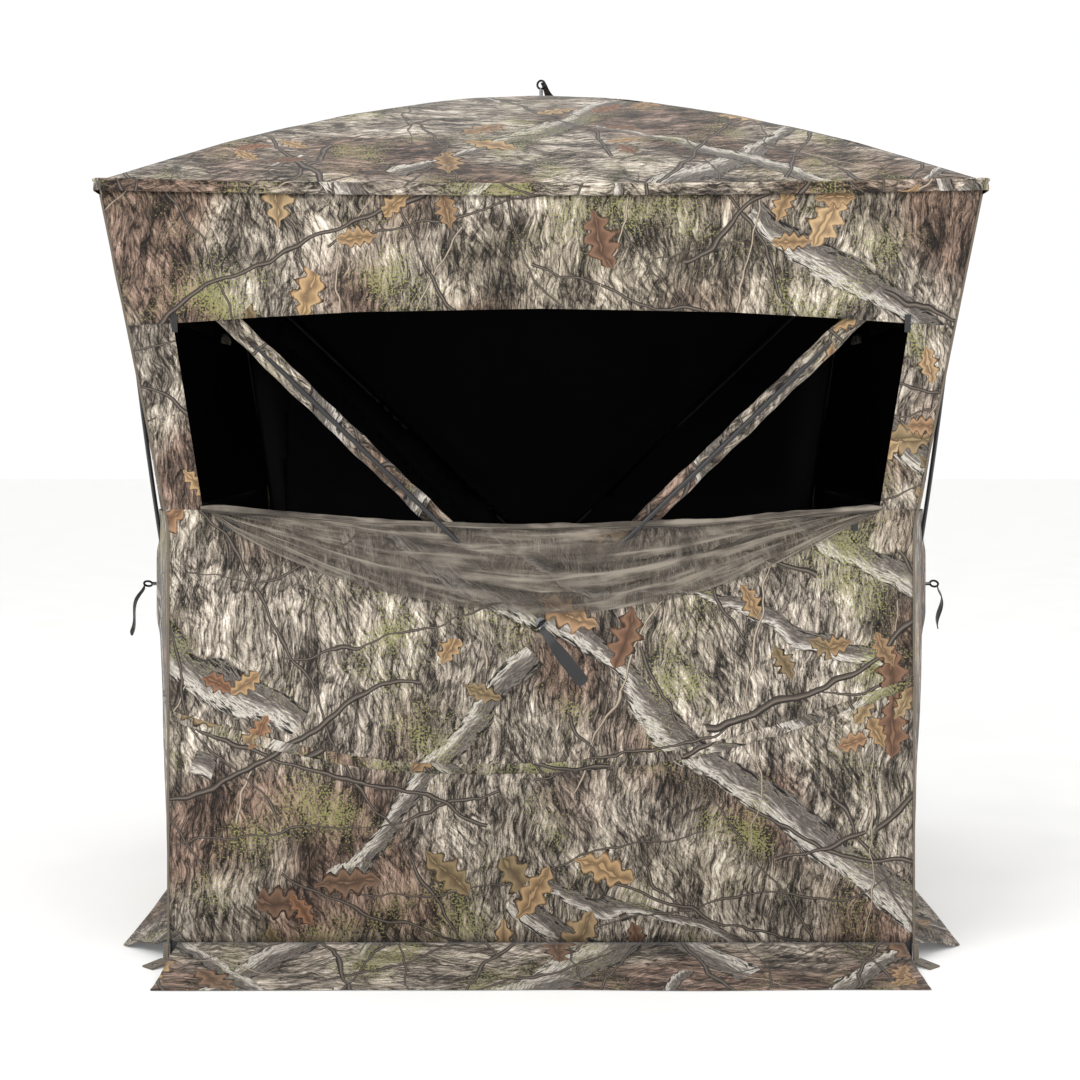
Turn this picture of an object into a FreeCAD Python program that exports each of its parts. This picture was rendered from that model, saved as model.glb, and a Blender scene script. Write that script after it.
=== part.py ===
"""Pop-up hub ground blind: a square fabric shell held taut by five sprung hubs and twenty rods.

Frame: +Z up, the window wall faces -Y, the origin is on the ground at the centre of the footprint.
Every wall is drawn once in its own frame (u to the right seen from outside, w outward, z up) and turned
about +Z by quarter turns: front, right, back, left. The roof uses the same hub, laid flat.
Each hub carries four rods on cross pins. The rods' far ends stand free in the corner sockets, which leave
them the room that they need when a hub is pushed through its flat position. Millimetres throughout.
"""

import FreeCAD
import Part
import math
import os

V = FreeCAD.Vector
OUT = "parts"
os.makedirs(OUT, exist_ok=True)

# --- overall sizes of the shell -------------------------------------------------------------------------
BASE_HALF = 737.0  # half the footprint, at the bottom seam
TOP_HALF = 852.0  # half the width at the eave
SEAM_Z = 40.0  # bottom seam of the walls
WAIST_Z = 860.0  # height where the corners begin to flare outwards
EAVE_Z = 1535.0
HUB_OUT = 889.0  # how far a wall hub stands out from the centre
HUB_Z = 690.0
PEAK_Z = 1825.0  # flat of the roof under its hub
ROOF_BOW = 34.0  # rise of a roof rod above its chord, at the middle
WALL_BOW = 6.0
ROOF_STEPS = 4  # flats along each roof ridge

# --- fabric ---------------------------------------------------------------------------------------------
CLOTH = 2.0  # coated cloth with its lining
SEAM_GAP = 0.3  # between panels that are sewn edge to edge
EDGE_INSET = 3.0  # wall panels stop short of the corner, where the binding sits
HUB_FLAT = 42.0  # half the flat square of cloth that a hub clamps
BINDING_OUT = 1.5
EAVE_PROUD = 6.0
EAVE_BAND = 27.0
SKIRT_REACH = 190.0
SIDE_SKIRT_REACH = 122.0
SKIRT_KNEE = 0.34  # share of the reach where the skirt meets the ground
SKIRT_KNEE_Z = 10.0
SKIRT_END = 17.0  # a skirt stops short of its corner
SLEEVE_HALF = 31.0

# --- windows and door, drawn on a wall ------------------------------------------------------------------
WIN_TOP_Z, WIN_TOP_RISE, WIN_TOP_HALF = 1261.0, 28.0, 712.0
SILL_Z, SILL_SAG, SILL_HALF = 897.0, 31.0, 665.0
CLOSURE_LAP = 16.0  # how far a closed window's inner panel laps past the opening
CLOSURE_DROP = 400.0
CLOSURE_W = 740.0
CLOSURE_HALF = 628.0
MESH_HALF, MESH_DROP = 596.0, 160.0
DOOR_NEAR, DOOR_FAR = 150.0, 690.0  # distance of the door's free and hinge edges from the wall's middle
DOOR_NEAR_Z = (610.0, 785.0)
DOOR_FAR_Z = (140.0, 1315.0)
DOOR_GAP = 3.0  # between the door and its frame, bridged by the zips
HINGE_OUT = 1.5  # the hinge line runs this far outside the cloth
ZIP_TAPE = 13.0
SLIDER_SIZE = (22.0, 12.0, 5.0)
SLIDER_TAB = (30.0, 7.0, 1.6)
SLIDER_ROUND = 1.2
SLIDER_RUN = 0.5  # between the zip's tape and the slider
HOOK = (12.0, 34.0, 3.0)

# --- hub ------------------------------------------------------------------------------------------------
HUB_R = 38.0
HUB_THICK = 26.0
HUB_GAP = 0.1  # cloth to housing
SLOT_WIDTH = 14.0
SLOT_START_R = 13.0
SLOT_ROOF = 2.8  # solid left between a slot and the cloth
PIN_R = 2.5
PIN_LENGTH = 30.0
PIN_CIRCLE_R = 27.0
PIN_DEPTH = 17.0  # below the cloth
PIN_FIT = 0.05  # pin in the housing
EYE_FIT = 0.08  # rod eye on the pin
BOLT_R = 4.0
BOLT_FIT = 0.5
WASHER_R, WASHER_THICK = 9.5, 3.0
NUT_R, NUT_THICK = 7.5, 6.0
EYE_RING_R, EYE_WIRE_R = 9.5, 2.5
EYE_CENTRE = 30.0  # eye centre above the cloth
STRAP_WIDTH, STRAP_THICK, STRAP_LENGTH = 25.0, 3.0, 135.0
STRAP_LOOP = (3.4, 5.4, 6.0)  # bore, outside and length of the strap's sewn eye
STRAP_LIE = -48.0  # which way a wall's strap lies in the face of its hub, from the right
STRAP_DROOP = 0.0
ROOF_STRAP_LIE = 66.0
ROOF_STRAP_DROOP = 14.0

# --- rods -----------------------------------------------------------------------------------------------
ROD_R = 4.75
ROD_FIT = 0.15
FERRULE_R = 7.0
TONGUE_THICK = 10.0
TONGUE_HALF = 6.5
TONGUE_LENGTH = 34.0
FERRULE_SPAN = (28.0, 78.0)
ROD_START = 44.0
CAP_R = 6.5
CAP_LENGTH = 34.0
CAP_END = 4.0  # closed end of the cap past the rod

# --- corner sockets -------------------------------------------------------------------------------------
SOCKET_WALL = 3.0
ROOF_CUP = {"in": 59.0, "z": EAVE_Z - 20.0, "tip": 50.0, "length": 100.0, "r": (13.0, 22.0)}
UPPER_CUP = {"u_in": 75.0, "w_in": 34.0, "z": EAVE_Z - 100.0, "tip": 20.0, "length": 78.0, "r": (9.5, 17.0)}
LOWER_CUP = {"u_in": 75.0, "w_in": 34.0, "z": 85.0, "tip": 28.0, "length": 82.0, "r": (9.5, 19.0)}
TOP_BLOCK_Z = (EAVE_Z - 88.0, EAVE_Z - 6.0)
TOP_BLOCK_SIZE = 48.0
TOP_BLOCK_ROUND = 18.0
FOOT_ROUND = 6.0
FOOT_SIZE = 62.0
FOOT_TOP = 96.0

# --- how far things travel ------------------------------------------------------------------------------
WALL_TRAVEL = 230.0
ROOF_TRAVEL = 580.0

# --- stake loops ----------------------------------------------------------------------------------------
LOOP_WIDTH, LOOP_LENGTH, LOOP_THICK = 34.0, 46.0, 3.0
LOOP_TILT = 8.0  # a tab slopes down outwards, so that a leaning peg clears the eave
STAKE_HOLE_R = 6.35

SIDES = {"front": 0, "right": 1, "back": 2, "left": 3}


def save(shape, name):
    """Writes one sub-part and reports its solids."""
    solids = shape.Solids
    bad = [s for s in solids if not s.isValid() or s.Volume <= 0]
    Part.makeCompound(solids).exportStep(f"{OUT}/{name}.step")
    print(f"{name:28s} solids {len(solids)} volume {sum(s.Volume for s in solids) / 1000:9.1f} cm3 bad {len(bad)}")


def turned(shape, quarter):
    """A copy of a shape drawn on the front wall, turned to another wall."""
    copy = shape.copy()
    copy.rotate(V(0, 0, 0), V(0, 0, 1), 90.0 * quarter)
    return copy


def at(u, w, z):
    """A point of the front wall's frame."""
    return V(u, -w, z)


# --- the shell's flats ----------------------------------------------------------------------------------
def corner_half(z):
    """Half width of the shell at a corner, at height z."""
    if z <= WAIST_Z:
        return BASE_HALF
    return BASE_HALF + (TOP_HALF - BASE_HALF) * (z - WAIST_Z) / (EAVE_Z - WAIST_Z)


def wall_flats(inset=EDGE_INSET):
    """Triangles (u, w, z) of a whole wall: a shallow pyramid whose top is the hub's flat."""
    flats = []
    top_left = (-(TOP_HALF - inset), TOP_HALF, EAVE_Z)
    top_right = (TOP_HALF - inset, TOP_HALF, EAVE_Z)
    low_left = (-(BASE_HALF - inset), BASE_HALF, SEAM_Z)
    low_right = (BASE_HALF - inset, BASE_HALF, SEAM_Z)
    waist_left = (-(BASE_HALF - inset), BASE_HALF, WAIST_Z)
    waist_right = (BASE_HALF - inset, BASE_HALF, WAIST_Z)
    seat = {(i, j): (i * HUB_FLAT, HUB_OUT, HUB_Z + j * HUB_FLAT) for i in (-1, 1) for j in (-1, 1)}
    flats += [(top_left, seat[-1, 1], seat[1, 1]), (top_left, seat[1, 1], top_right)]
    flats += [(low_left, low_right, seat[1, -1]), (low_left, seat[1, -1], seat[-1, -1])]
    flats += [(seat[-1, -1], seat[1, -1], seat[1, 1]), (seat[-1, -1], seat[1, 1], seat[-1, 1])]
    for side, low, waist, top in ((-1, low_left, waist_left, top_left), (1, low_right, waist_right, top_right)):
        flats.append((top, waist, seat[side, 1]))
        flats.append((waist, seat[side, -1], seat[side, 1]))
        flats.append((waist, low, seat[side, -1]))
    return flats


def wall_w(u, z):
    """How far out the wall's outer face lies at (u, z)."""
    for a, b, c in wall_flats(0.0):
        det = (b[0] - a[0]) * (c[2] - a[2]) - (c[0] - a[0]) * (b[2] - a[2])
        s = ((u - a[0]) * (c[2] - a[2]) - (c[0] - a[0]) * (z - a[2])) / det
        t = ((b[0] - a[0]) * (z - a[2]) - (u - a[0]) * (b[2] - a[2])) / det
        if s >= -1e-6 and t >= -1e-6 and s + t <= 1 + 1e-6:
            return a[1] + s * (b[1] - a[1]) + t * (c[1] - a[1])
    raise ValueError(f"({u}, {z}) is off the wall")


def thick_sheet(triangles, shift):
    """A closed solid between triangles and the same triangles moved by shift."""
    faces, uses = [], {}
    for tri in triangles:
        for k in range(3):
            edge = (tri[k], tri[(k + 1) % 3])
            key = frozenset(edge)
            uses.setdefault(key, []).append(edge)
        for move in (V(0, 0, 0), shift):
            ring = [V(*p) + move for p in tri]
            faces.append(Part.Face(Part.makePolygon(ring + ring[:1])))
    for edges in uses.values():
        if len(edges) == 1:
            a, b = (V(*p) for p in edges[0])
            faces.append(Part.Face(Part.makePolygon([a, b, b + shift, a + shift, a])))
    solid = Part.makeSolid(Part.makeShell(faces))
    if solid.Volume < 0:
        solid.reverse()
    return solid.removeSplitter()


def wall_sheet(out=0.0, thick=CLOTH):
    """A whole wall as one sheet on the front wall, moved outwards by out."""
    triangles = [tuple((u, -(w + out), z) for u, w, z in tri) for tri in wall_flats()]
    return thick_sheet(triangles, V(0, thick, 0))


def prism(points):
    """A block through the front wall over an outline of (u, z) points."""
    far = 2 * HUB_OUT
    ring = [V(u, -far, z) for u, z in points]
    return Part.Face(Part.makePolygon(ring + ring[:1])).extrude(V(0, far, 0))


def mirrored(points):
    return [(-u, z) for u, z in points]


def grown(points, by):
    """An outline moved outwards by a distance; its points run counter-clockwise."""
    moved = []
    count = len(points)
    for k in range(count):
        (ax, ay), (bx, by_), (cx, cy) = points[k - 1], points[k], points[(k + 1) % count]
        n1 = V(by_ - ay, ax - bx, 0).normalize()
        n2 = V(cy - by_, bx - cx, 0).normalize()
        scale = by / (1 + n1.dot(n2))
        moved.append((bx + (n1.x + n2.x) * scale, by_ + (n1.y + n2.y) * scale))
    return moved


# --- outlines on a wall ---------------------------------------------------------------------------------
WIDE = 2 * TOP_HALF
WINDOW = [
    (-SILL_HALF, SILL_Z),
    (0.0, SILL_Z - SILL_SAG),
    (SILL_HALF, SILL_Z),
    (WIN_TOP_HALF, WIN_TOP_Z),
    (0.0, WIN_TOP_Z + WIN_TOP_RISE),
    (-WIN_TOP_HALF, WIN_TOP_Z),
]
DOOR = [
    (DOOR_NEAR, DOOR_NEAR_Z[0]),
    (DOOR_FAR, DOOR_FAR_Z[0]),
    (DOOR_FAR, DOOR_FAR_Z[1]),
    (DOOR_NEAR, DOOR_NEAR_Z[1]),
]


def door_outline(gap):
    """The door's own outline: clear of its frame by gap, and sewn to it along the hinge edge."""
    near_low, _, _, near_high = grown(DOOR, -gap)
    far = DOOR_FAR - SEAM_GAP
    low, high = ((DOOR_FAR_Z[k] - DOOR_NEAR_Z[k]) / (DOOR_FAR - DOOR_NEAR) for k in (0, 1))
    return [
        near_low,
        (far, near_low[1] + low * (far - near_low[0])),
        (far, near_high[1] + high * (far - near_high[0])),
        near_high,
    ]


def below_sill():
    g = SEAM_GAP
    return [
        (-WIDE, 0.0),
        (WIDE, 0.0),
        (WIDE, SILL_Z - g),
        (SILL_HALF, SILL_Z - g),
        (0.0, SILL_Z - SILL_SAG - g),
        (-SILL_HALF, SILL_Z - g),
        (-WIDE, SILL_Z - g),
    ]


def above_window():
    g = SEAM_GAP
    return [
        (-WIDE, WIN_TOP_Z + g),
        (-WIN_TOP_HALF, WIN_TOP_Z + g),
        (0.0, WIN_TOP_Z + WIN_TOP_RISE + g),
        (WIN_TOP_HALF, WIN_TOP_Z + g),
        (WIDE, WIN_TOP_Z + g),
        (WIDE, 2 * EAVE_Z),
        (-WIDE, 2 * EAVE_Z),
    ]


RIGHT_JAMB = [(SILL_HALF, SILL_Z), (WIDE, SILL_Z), (WIDE, WIN_TOP_Z), (WIN_TOP_HALF, WIN_TOP_Z)]


def ridge_u(z):
    """Where the upper ridge, over an upper rod, crosses height z."""
    return HUB_FLAT + (z - HUB_Z - HUB_FLAT) * (TOP_HALF - HUB_FLAT) / (EAVE_Z - HUB_Z - HUB_FLAT)


def sleeve_outline():
    """The strip of cloth over the right upper rod, across the window."""
    low, high = SILL_Z - SILL_SAG, WIN_TOP_Z + WIN_TOP_RISE
    slope = math.hypot(ridge_u(high) - ridge_u(low), high - low) / (high - low)
    half = SLEEVE_HALF * slope
    return [
        (ridge_u(low) - half, low),
        (ridge_u(low) + half, low),
        (ridge_u(high) + half, high),
        (ridge_u(high) - half, high),
    ]


def bolt_hole():
    """The hole for a hub's bolt through the cloth."""
    return Part.makeCylinder(BOLT_R + BOLT_FIT, 4 * HUB_THICK, V(0, -HUB_OUT - 2 * HUB_THICK, HUB_Z), V(0, 1, 0))


# --- walls ----------------------------------------------------------------------------------------------
def make_walls():
    sheet = wall_sheet().cut(bolt_hole())
    save(sheet.common(prism(above_window())), "front_header_panel")
    save(sheet.common(prism(below_sill())), "front_lower_panel")
    save(sheet.common(prism(RIGHT_JAMB)), "front_right_jamb")
    save(sheet.common(prism(mirrored(RIGHT_JAMB)[::-1])), "front_left_jamb")
    opening = prism(WINDOW)
    clear = prism(grown(WINDOW, -SEAM_GAP))
    sleeves = [sheet.common(prism(o)).common(clear) for o in (sleeve_outline(), mirrored(sleeve_outline())[::-1])]
    save(Part.makeCompound(sleeves), "front_pole_sleeves")
    save(Part.makeCompound([turned(s, SIDES[k]) for s in sleeves for k in ("left", "right")]), "side_pole_sleeves")
    windowed = sheet.cut(opening)
    save(turned(windowed, SIDES["right"]), "right_wall_panel")
    save(turned(windowed, SIDES["left"]), "left_wall_panel")
    inner = wall_sheet(-CLOTH - SEAM_GAP, CLOTH / 2).common(prism(grown(WINDOW, CLOSURE_LAP)))
    save(Part.makeCompound([turned(inner, SIDES[k]) for k in ("left", "right")]), "side_window_closures")
    hung = [
        (-CLOSURE_HALF, SILL_Z - CLOSURE_DROP),
        (CLOSURE_HALF, SILL_Z - CLOSURE_DROP),
        (CLOSURE_HALF, SILL_Z - 4 * SEAM_GAP),
        (0.0, SILL_Z - SILL_SAG),
        (-CLOSURE_HALF, SILL_Z - 4 * SEAM_GAP),
    ]
    ring = [V(u, -CLOSURE_W, z) for u, z in hung]
    save(Part.Face(Part.makePolygon(ring + ring[:1])).extrude(V(0, CLOTH / 2, 0)), "front_window_closure")
    make_mesh()
    make_back_wall(sheet)
    make_hooks()


def make_mesh():
    """The front window's netting, unhooked and hanging outside from the sill."""
    drop = [(-MESH_HALF, SILL_Z - SILL_SAG - 2 * CLOTH), (-0.66 * MESH_HALF, SILL_Z - 0.72 * MESH_DROP)]
    drop += [(0.0, SILL_Z - SILL_SAG - MESH_DROP), (0.66 * MESH_HALF, SILL_Z - 0.72 * MESH_DROP)]
    drop += [(MESH_HALF, SILL_Z - SILL_SAG - 2 * CLOTH), (0.0, SILL_Z - SILL_SAG - CLOTH)]
    lifted = wall_sheet(CLOTH + 2 * SEAM_GAP).cut(bolt_hole())
    save(lifted.common(prism(drop)), "front_window_mesh")


def make_back_wall(sheet):
    """The wall with the door: the panel, the door's flap, and a zip along each side of the slit."""
    save(turned(sheet.cut(prism(DOOR)), SIDES["back"]), "back_wall_panel")
    inside = door_outline(DOOR_GAP)
    save(turned(sheet.common(prism(inside)), SIDES["back"]), "door_panel")
    tape = wall_sheet(CLOTH + SEAM_GAP, CLOTH)
    hinge_side = prism([(DOOR_FAR - ZIP_TAPE, 0), (WIDE, 0), (WIDE, 2 * EAVE_Z), (DOOR_FAR - ZIP_TAPE, 2 * EAVE_Z)])
    frame_zip = tape.common(prism(grown(DOOR, ZIP_TAPE))).cut(prism(DOOR)).cut(hinge_side)
    save(turned(frame_zip, SIDES["back"]), "door_frame_zip")
    door_zip = tape.common(prism(inside)).cut(prism(grown(DOOR, -ZIP_TAPE))).cut(hinge_side)
    save(turned(door_zip, SIDES["back"]), "door_edge_zip")
    back = FreeCAD.Rotation(V(0, 0, 1), 90.0 * SIDES["back"])
    for name, near_z, far_z in (("lower", DOOR_NEAR_Z[0], DOOR_FAR_Z[0]), ("upper", DOOR_NEAR_Z[1], DOOR_FAR_Z[1])):
        start, stop, along, normal = zip_line(near_z, far_z)
        save(turned(zip_slider(start, along, normal), SIDES["back"]), f"{name}_zip_slider")
        axis = [round(x, 6) for x in back.multVec(along)]
        print("JOINT", f"{name}_slider", "slide", axis, "travel", round((stop - start).Length / 1000, 4))
    low, high = (back.multVec(at(DOOR_FAR, wall_w(DOOR_FAR, z) + HINGE_OUT, z)) for z in DOOR_FAR_Z)
    axis = [round(x, 6) for x in (high - low).normalize()]
    print("JOINT", "door", "hinge", [round(x / 1000, 6) for x in low], axis)


def zip_line(near_z, far_z):
    """A slider's first and last place on its zip, its direction, and the cloth's outward normal."""
    share = 2 * SLIDER_SIZE[0] / (DOOR_FAR - DOOR_NEAR)
    ends = []
    for k in (share, 1 - share):
        u, z = DOOR_NEAR + k * (DOOR_FAR - DOOR_NEAR), near_z + k * (far_z - near_z)
        ends.append(at(u, wall_w(u, z), z))
    along = (ends[1] - ends[0]).normalize()
    u, z = ends[0].x, ends[0].z
    step = 2.0 if far_z > near_z else -2.0
    beside = at(u, wall_w(u, z + step), z + step) - ends[0]
    normal = along.cross(beside).normalize()
    if normal.y > 0:
        normal = normal * -1
    return ends[0], ends[1], along, normal


def placed_box(size, centre, x_dir, z_dir):
    """A box of size (along x_dir, across, along z_dir) about a centre."""
    box = Part.makeBox(*size, V(-size[0] / 2, -size[1] / 2, -size[2] / 2))
    y_dir = z_dir.cross(x_dir)
    rotation = FreeCAD.Rotation(x_dir, y_dir, z_dir, "ZXY")
    box.Placement = FreeCAD.Placement(centre, rotation)
    return box


def zip_slider(start, along, normal):
    base = CLOTH + SEAM_GAP + SLIDER_RUN
    body = placed_box(SLIDER_SIZE, start + normal * (base + SLIDER_SIZE[2] / 2), along, normal)
    body = body.makeFillet(SLIDER_ROUND, body.Edges)
    tab_at = start + normal * (base + 0.45 * SLIDER_SIZE[2]) - along * (SLIDER_TAB[0] / 2 + 6)
    return body.fuse(placed_box(SLIDER_TAB, tab_at, along, normal))


def make_hooks():
    """Sewn loops inside the window's four corners; the lower two carry the lowered closure."""
    hooks = []
    for side in (-1, 1):
        u = side * (CLOSURE_HALF - HOOK[0])
        low = SILL_Z - HOOK[1] - HOOK[0] / 2
        corners = [(u + i * HOOK[0] / 2, low + j * HOOK[1]) for i in (-1, 1) for j in (0, 1)]
        back = CLOTH + 2 * SEAM_GAP - min(wall_w(*c) for c in corners)
        hooks.append(Part.makeBox(HOOK[0], -CLOSURE_W - SEAM_GAP - back, HOOK[1], V(corners[0][0], back, low)))
        u = side * (WIN_TOP_HALF - 4)
        tab = wall_sheet(-CLOTH - SEAM_GAP, HOOK[2])
        low, high = WIN_TOP_Z - HOOK[1] / 2, WIN_TOP_Z + HOOK[1] / 2
        half = HOOK[0] / 2
        hooks.append(tab.common(prism([(u - half, low), (u + half, low), (u + half, high), (u - half, high)])))
    save(Part.makeCompound(hooks), "window_hooks")


# --- roof, bands, bindings, skirts ----------------------------------------------------------------------
def roof_z(share):
    """Height of a roof ridge at a share of the way from its corner to the hub's flat."""
    return EAVE_Z + SEAM_GAP + (PEAK_Z - EAVE_Z - SEAM_GAP) * share + 4 * ROOF_BOW * share * (1 - share)


def make_roof():
    levels = []
    edge = TOP_HALF + EAVE_PROUD
    for k in range(ROOF_STEPS + 1):
        share = k / ROOF_STEPS
        levels.append((edge + (HUB_FLAT - edge) * share, roof_z(share)))
    triangles = []
    for (a, za), (b, zb) in zip(levels, levels[1:], strict=False):
        for quarter in range(4):
            c, s = round(math.cos(quarter * math.pi / 2)), round(math.sin(quarter * math.pi / 2))
            ring = [(-a, -a, za), (a, -a, za), (b, -b, zb), (-b, -b, zb)]
            ring = [(x * c - y * s, x * s + y * c, z) for x, y, z in ring]
            triangles += [(ring[0], ring[1], ring[2]), (ring[0], ring[2], ring[3])]
    h, z = HUB_FLAT, levels[-1][1]
    triangles += [((-h, -h, z), (h, -h, z), (h, h, z)), ((-h, -h, z), (h, h, z), (-h, h, z))]
    hole = Part.makeCylinder(BOLT_R + BOLT_FIT, 4 * HUB_THICK, V(0, 0, PEAK_Z - 2 * HUB_THICK))
    save(thick_sheet(triangles, V(0, 0, CLOTH)).cut(hole), "roof_panel")


def square_block(half, z0, z1):
    return Part.makeBox(2 * half, 2 * half, z1 - z0, V(-half, -half, z0))


def make_eave():
    low, high = EAVE_Z - EAVE_BAND, EAVE_Z + SEAM_GAP / 2
    inner = TOP_HALF + BINDING_OUT + SEAM_GAP
    save(square_block(TOP_HALF + EAVE_PROUD, low, high).cut(square_block(inner, low - 1, high + 1)), "eave_band")


def make_bindings():
    """A bound seam down each corner, in the notch that the wall panels leave."""
    bars = []
    inner, outer = EDGE_INSET - SEAM_GAP / 3, BINDING_OUT
    levels = [SEAM_Z, WAIST_Z, EAVE_Z - EAVE_BAND - SEAM_GAP]
    rings = []
    for z in levels:
        lo, hi = corner_half(z) - inner, corner_half(z) + outer
        ring = [V(-hi, -hi, z), V(-lo, -hi, z), V(-lo, -lo, z), V(-hi, -lo, z)]
        rings.append(Part.makePolygon(ring + ring[:1]))
    bar = Part.makeLoft(rings[:2], True, True).fuse(Part.makeLoft(rings[1:], True, True)).removeSplitter()
    bars = [turned(bar, k) for k in range(4)]
    save(Part.makeCompound(bars), "corner_bindings")


def skirt(reach):
    """A flap from the bottom seam down and out over the ground."""
    z0, knee = SEAM_Z - SEAM_GAP, BASE_HALF + SKIRT_KNEE * reach
    upper = [(BASE_HALF, z0), (knee, SKIRT_KNEE_Z), (BASE_HALF + reach, CLOTH)]
    lower = [(w, z - CLOTH) for w, z in upper[::-1]]
    half = BASE_HALF - SKIRT_END
    ring = [V(-half, -w, z) for w, z in upper + lower]
    return Part.Face(Part.makePolygon(ring + ring[:1])).extrude(V(2 * half, 0, 0))


def make_skirts():
    reach = {"front": SKIRT_REACH, "back": SKIRT_REACH, "left": SIDE_SKIRT_REACH, "right": SIDE_SKIRT_REACH}
    save(Part.makeCompound([turned(skirt(reach[k]), SIDES[k]) for k in SIDES]), "ground_skirts")


def make_stake_loops():
    """A webbing tab at each bottom corner with a round eyelet for a peg."""
    loops = []
    start = (BASE_HALF + BINDING_OUT) * math.sqrt(2) + SEAM_GAP
    for k in range(4):
        drop = Part.makeBox(LOOP_THICK, LOOP_WIDTH * 0.5, SEAM_Z, V(start, -LOOP_WIDTH * 0.25, 0))
        tab = Part.makeBox(LOOP_LENGTH, LOOP_WIDTH, LOOP_THICK, V(start, -LOOP_WIDTH / 2, 0))
        hole = Part.makeCylinder(STAKE_HOLE_R, 3 * LOOP_THICK, V(start + 0.6 * LOOP_LENGTH, 0, -LOOP_THICK))
        tab = tab.cut(hole)
        tab.rotate(V(start + LOOP_LENGTH, 0, 0), V(0, 1, 0), LOOP_TILT)
        loop = drop.fuse(tab)
        loop.rotate(V(0, 0, 0), V(0, 0, 1), 45.0 + 90.0 * k)
        loops.append(loop)
    save(Part.makeCompound(loops), "stake_loops")


# --- hubs and rods --------------------------------------------------------------------------------------
class HubFrame:
    """Where a hub sits: its centre on the cloth's outer face, its outward axis and its two face axes."""

    def __init__(self, centre, out, across, up):
        self.centre, self.out, self.across, self.up = centre, out, across, up

    def point(self, across, up, out):
        return self.centre + self.across * across + self.up * up + self.out * out

    def placement(self):
        return FreeCAD.Placement(self.centre, FreeCAD.Rotation(self.across, self.up, self.out, "ZXY"))


WALL_HUB = HubFrame(at(0, HUB_OUT, HUB_Z), V(0, -1, 0), V(1, 0, 0), V(0, 0, 1))
ROOF_HUB = HubFrame(V(0, 0, PEAK_Z + CLOTH), V(0, 0, 1), V(1, 0, 0), V(0, 1, 0))


def wall_rod_ends(cup, high):
    """The tip of a right-hand wall rod in the hub's face, and its depth."""
    half = TOP_HALF if high else BASE_HALF
    return half - cup["u_in"], cup["z"] - HUB_Z, half - cup["w_in"] - HUB_OUT


def roof_rod_tip():
    """The tip of the roof rod towards +X +Y: its place along one face axis, and its depth."""
    return TOP_HALF - ROOF_CUP["in"], ROOF_CUP["z"] - PEAK_Z - CLOTH


def rod_tips():
    """Every hub's four rod tips as (across, up, out) in its own frame."""
    u, v, w = wall_rod_ends(UPPER_CUP, True)
    u2, v2, w2 = wall_rod_ends(LOWER_CUP, False)
    wall = {"upper_left": (-u, v, w), "upper_right": (u, v, w), "lower_left": (-u2, v2, w2), "lower_right": (u2, v2, w2)}
    r, d = roof_rod_tip()
    roof = {"front_left": (-r, -r, d), "front_right": (r, -r, d), "back_right": (r, r, d), "back_left": (-r, r, d)}
    return wall, roof


def rod_line(tip, bow):
    """In the plane of a rod: the pin, the tip, the middle of its bow, and the directions of its two ends."""
    radial = V(tip[0], tip[1], 0).normalize()
    pin = radial * PIN_CIRCLE_R + V(0, 0, -PIN_DEPTH)
    end = V(*tip)
    chord = end - pin
    lift = (radial * chord.z * -1 + V(0, 0, 1) * chord.dot(radial)).normalize()
    middle = (pin + end) * 0.5 + lift * bow
    arc = Part.Arc(pin, middle, end)
    first = V(*arc.tangent(arc.FirstParameter)[0])
    last = V(*arc.tangent(arc.LastParameter)[0])
    return pin, end, radial, arc, first, last


def tube_on(arc, start, stop, radius):
    """A round bar along part of an arc, between two distances from its first end."""
    length = arc.length()
    a, b = arc.FirstParameter, arc.LastParameter
    p, q = a + (b - a) * start / length, a + (b - a) * stop / length
    piece = Part.Arc(arc.value(p), arc.value((p + q) / 2), arc.value(q))
    tangent = V(*arc.tangent(p)[0])
    ring = Part.Wire([Part.Circle(arc.value(p), tangent, radius).toShape()])
    return Part.Wire([piece.toShape()]).makePipeShell([ring], True, False)


def make_rod(tip, bow):
    """Hub end fitting, rod and end cap, in the hub's frame."""
    pin, _, radial, arc, first, last = rod_line(tip, bow)
    length = arc.length()
    across = V(0, 0, 1).cross(radial)
    tongue = Part.makeCylinder(TONGUE_HALF, TONGUE_THICK, pin - across * (TONGUE_THICK / 2), across)
    up = first.cross(across).normalize()
    blade = placed_box((TONGUE_LENGTH, TONGUE_THICK, 2 * TONGUE_HALF), pin + first * (TONGUE_LENGTH / 2), first, up)
    socket = Part.makeCylinder(FERRULE_R, FERRULE_SPAN[1] - FERRULE_SPAN[0], pin + first * FERRULE_SPAN[0], first)
    eye = Part.makeCylinder(PIN_R + EYE_FIT, 2 * TONGUE_THICK, pin - across * TONGUE_THICK, across)
    stop = length - CAP_END
    bore = tube_on(arc, ROD_START - ROD_FIT, length * 0.2, ROD_R + ROD_FIT)
    ferrule = tongue.fuse(blade).fuse(socket).cut(eye).cut(bore)
    rod = tube_on(arc, ROD_START, stop, ROD_R)
    cap_start = V(*arc.value(arc.LastParameter)) - last * CAP_LENGTH
    cap = Part.makeCylinder(CAP_R, CAP_LENGTH, cap_start, last)
    cap = cap.cut(tube_on(arc, length * 0.8, stop + ROD_FIT, ROD_R + ROD_FIT))
    return Part.makeCompound([ferrule, rod, cap])


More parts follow.
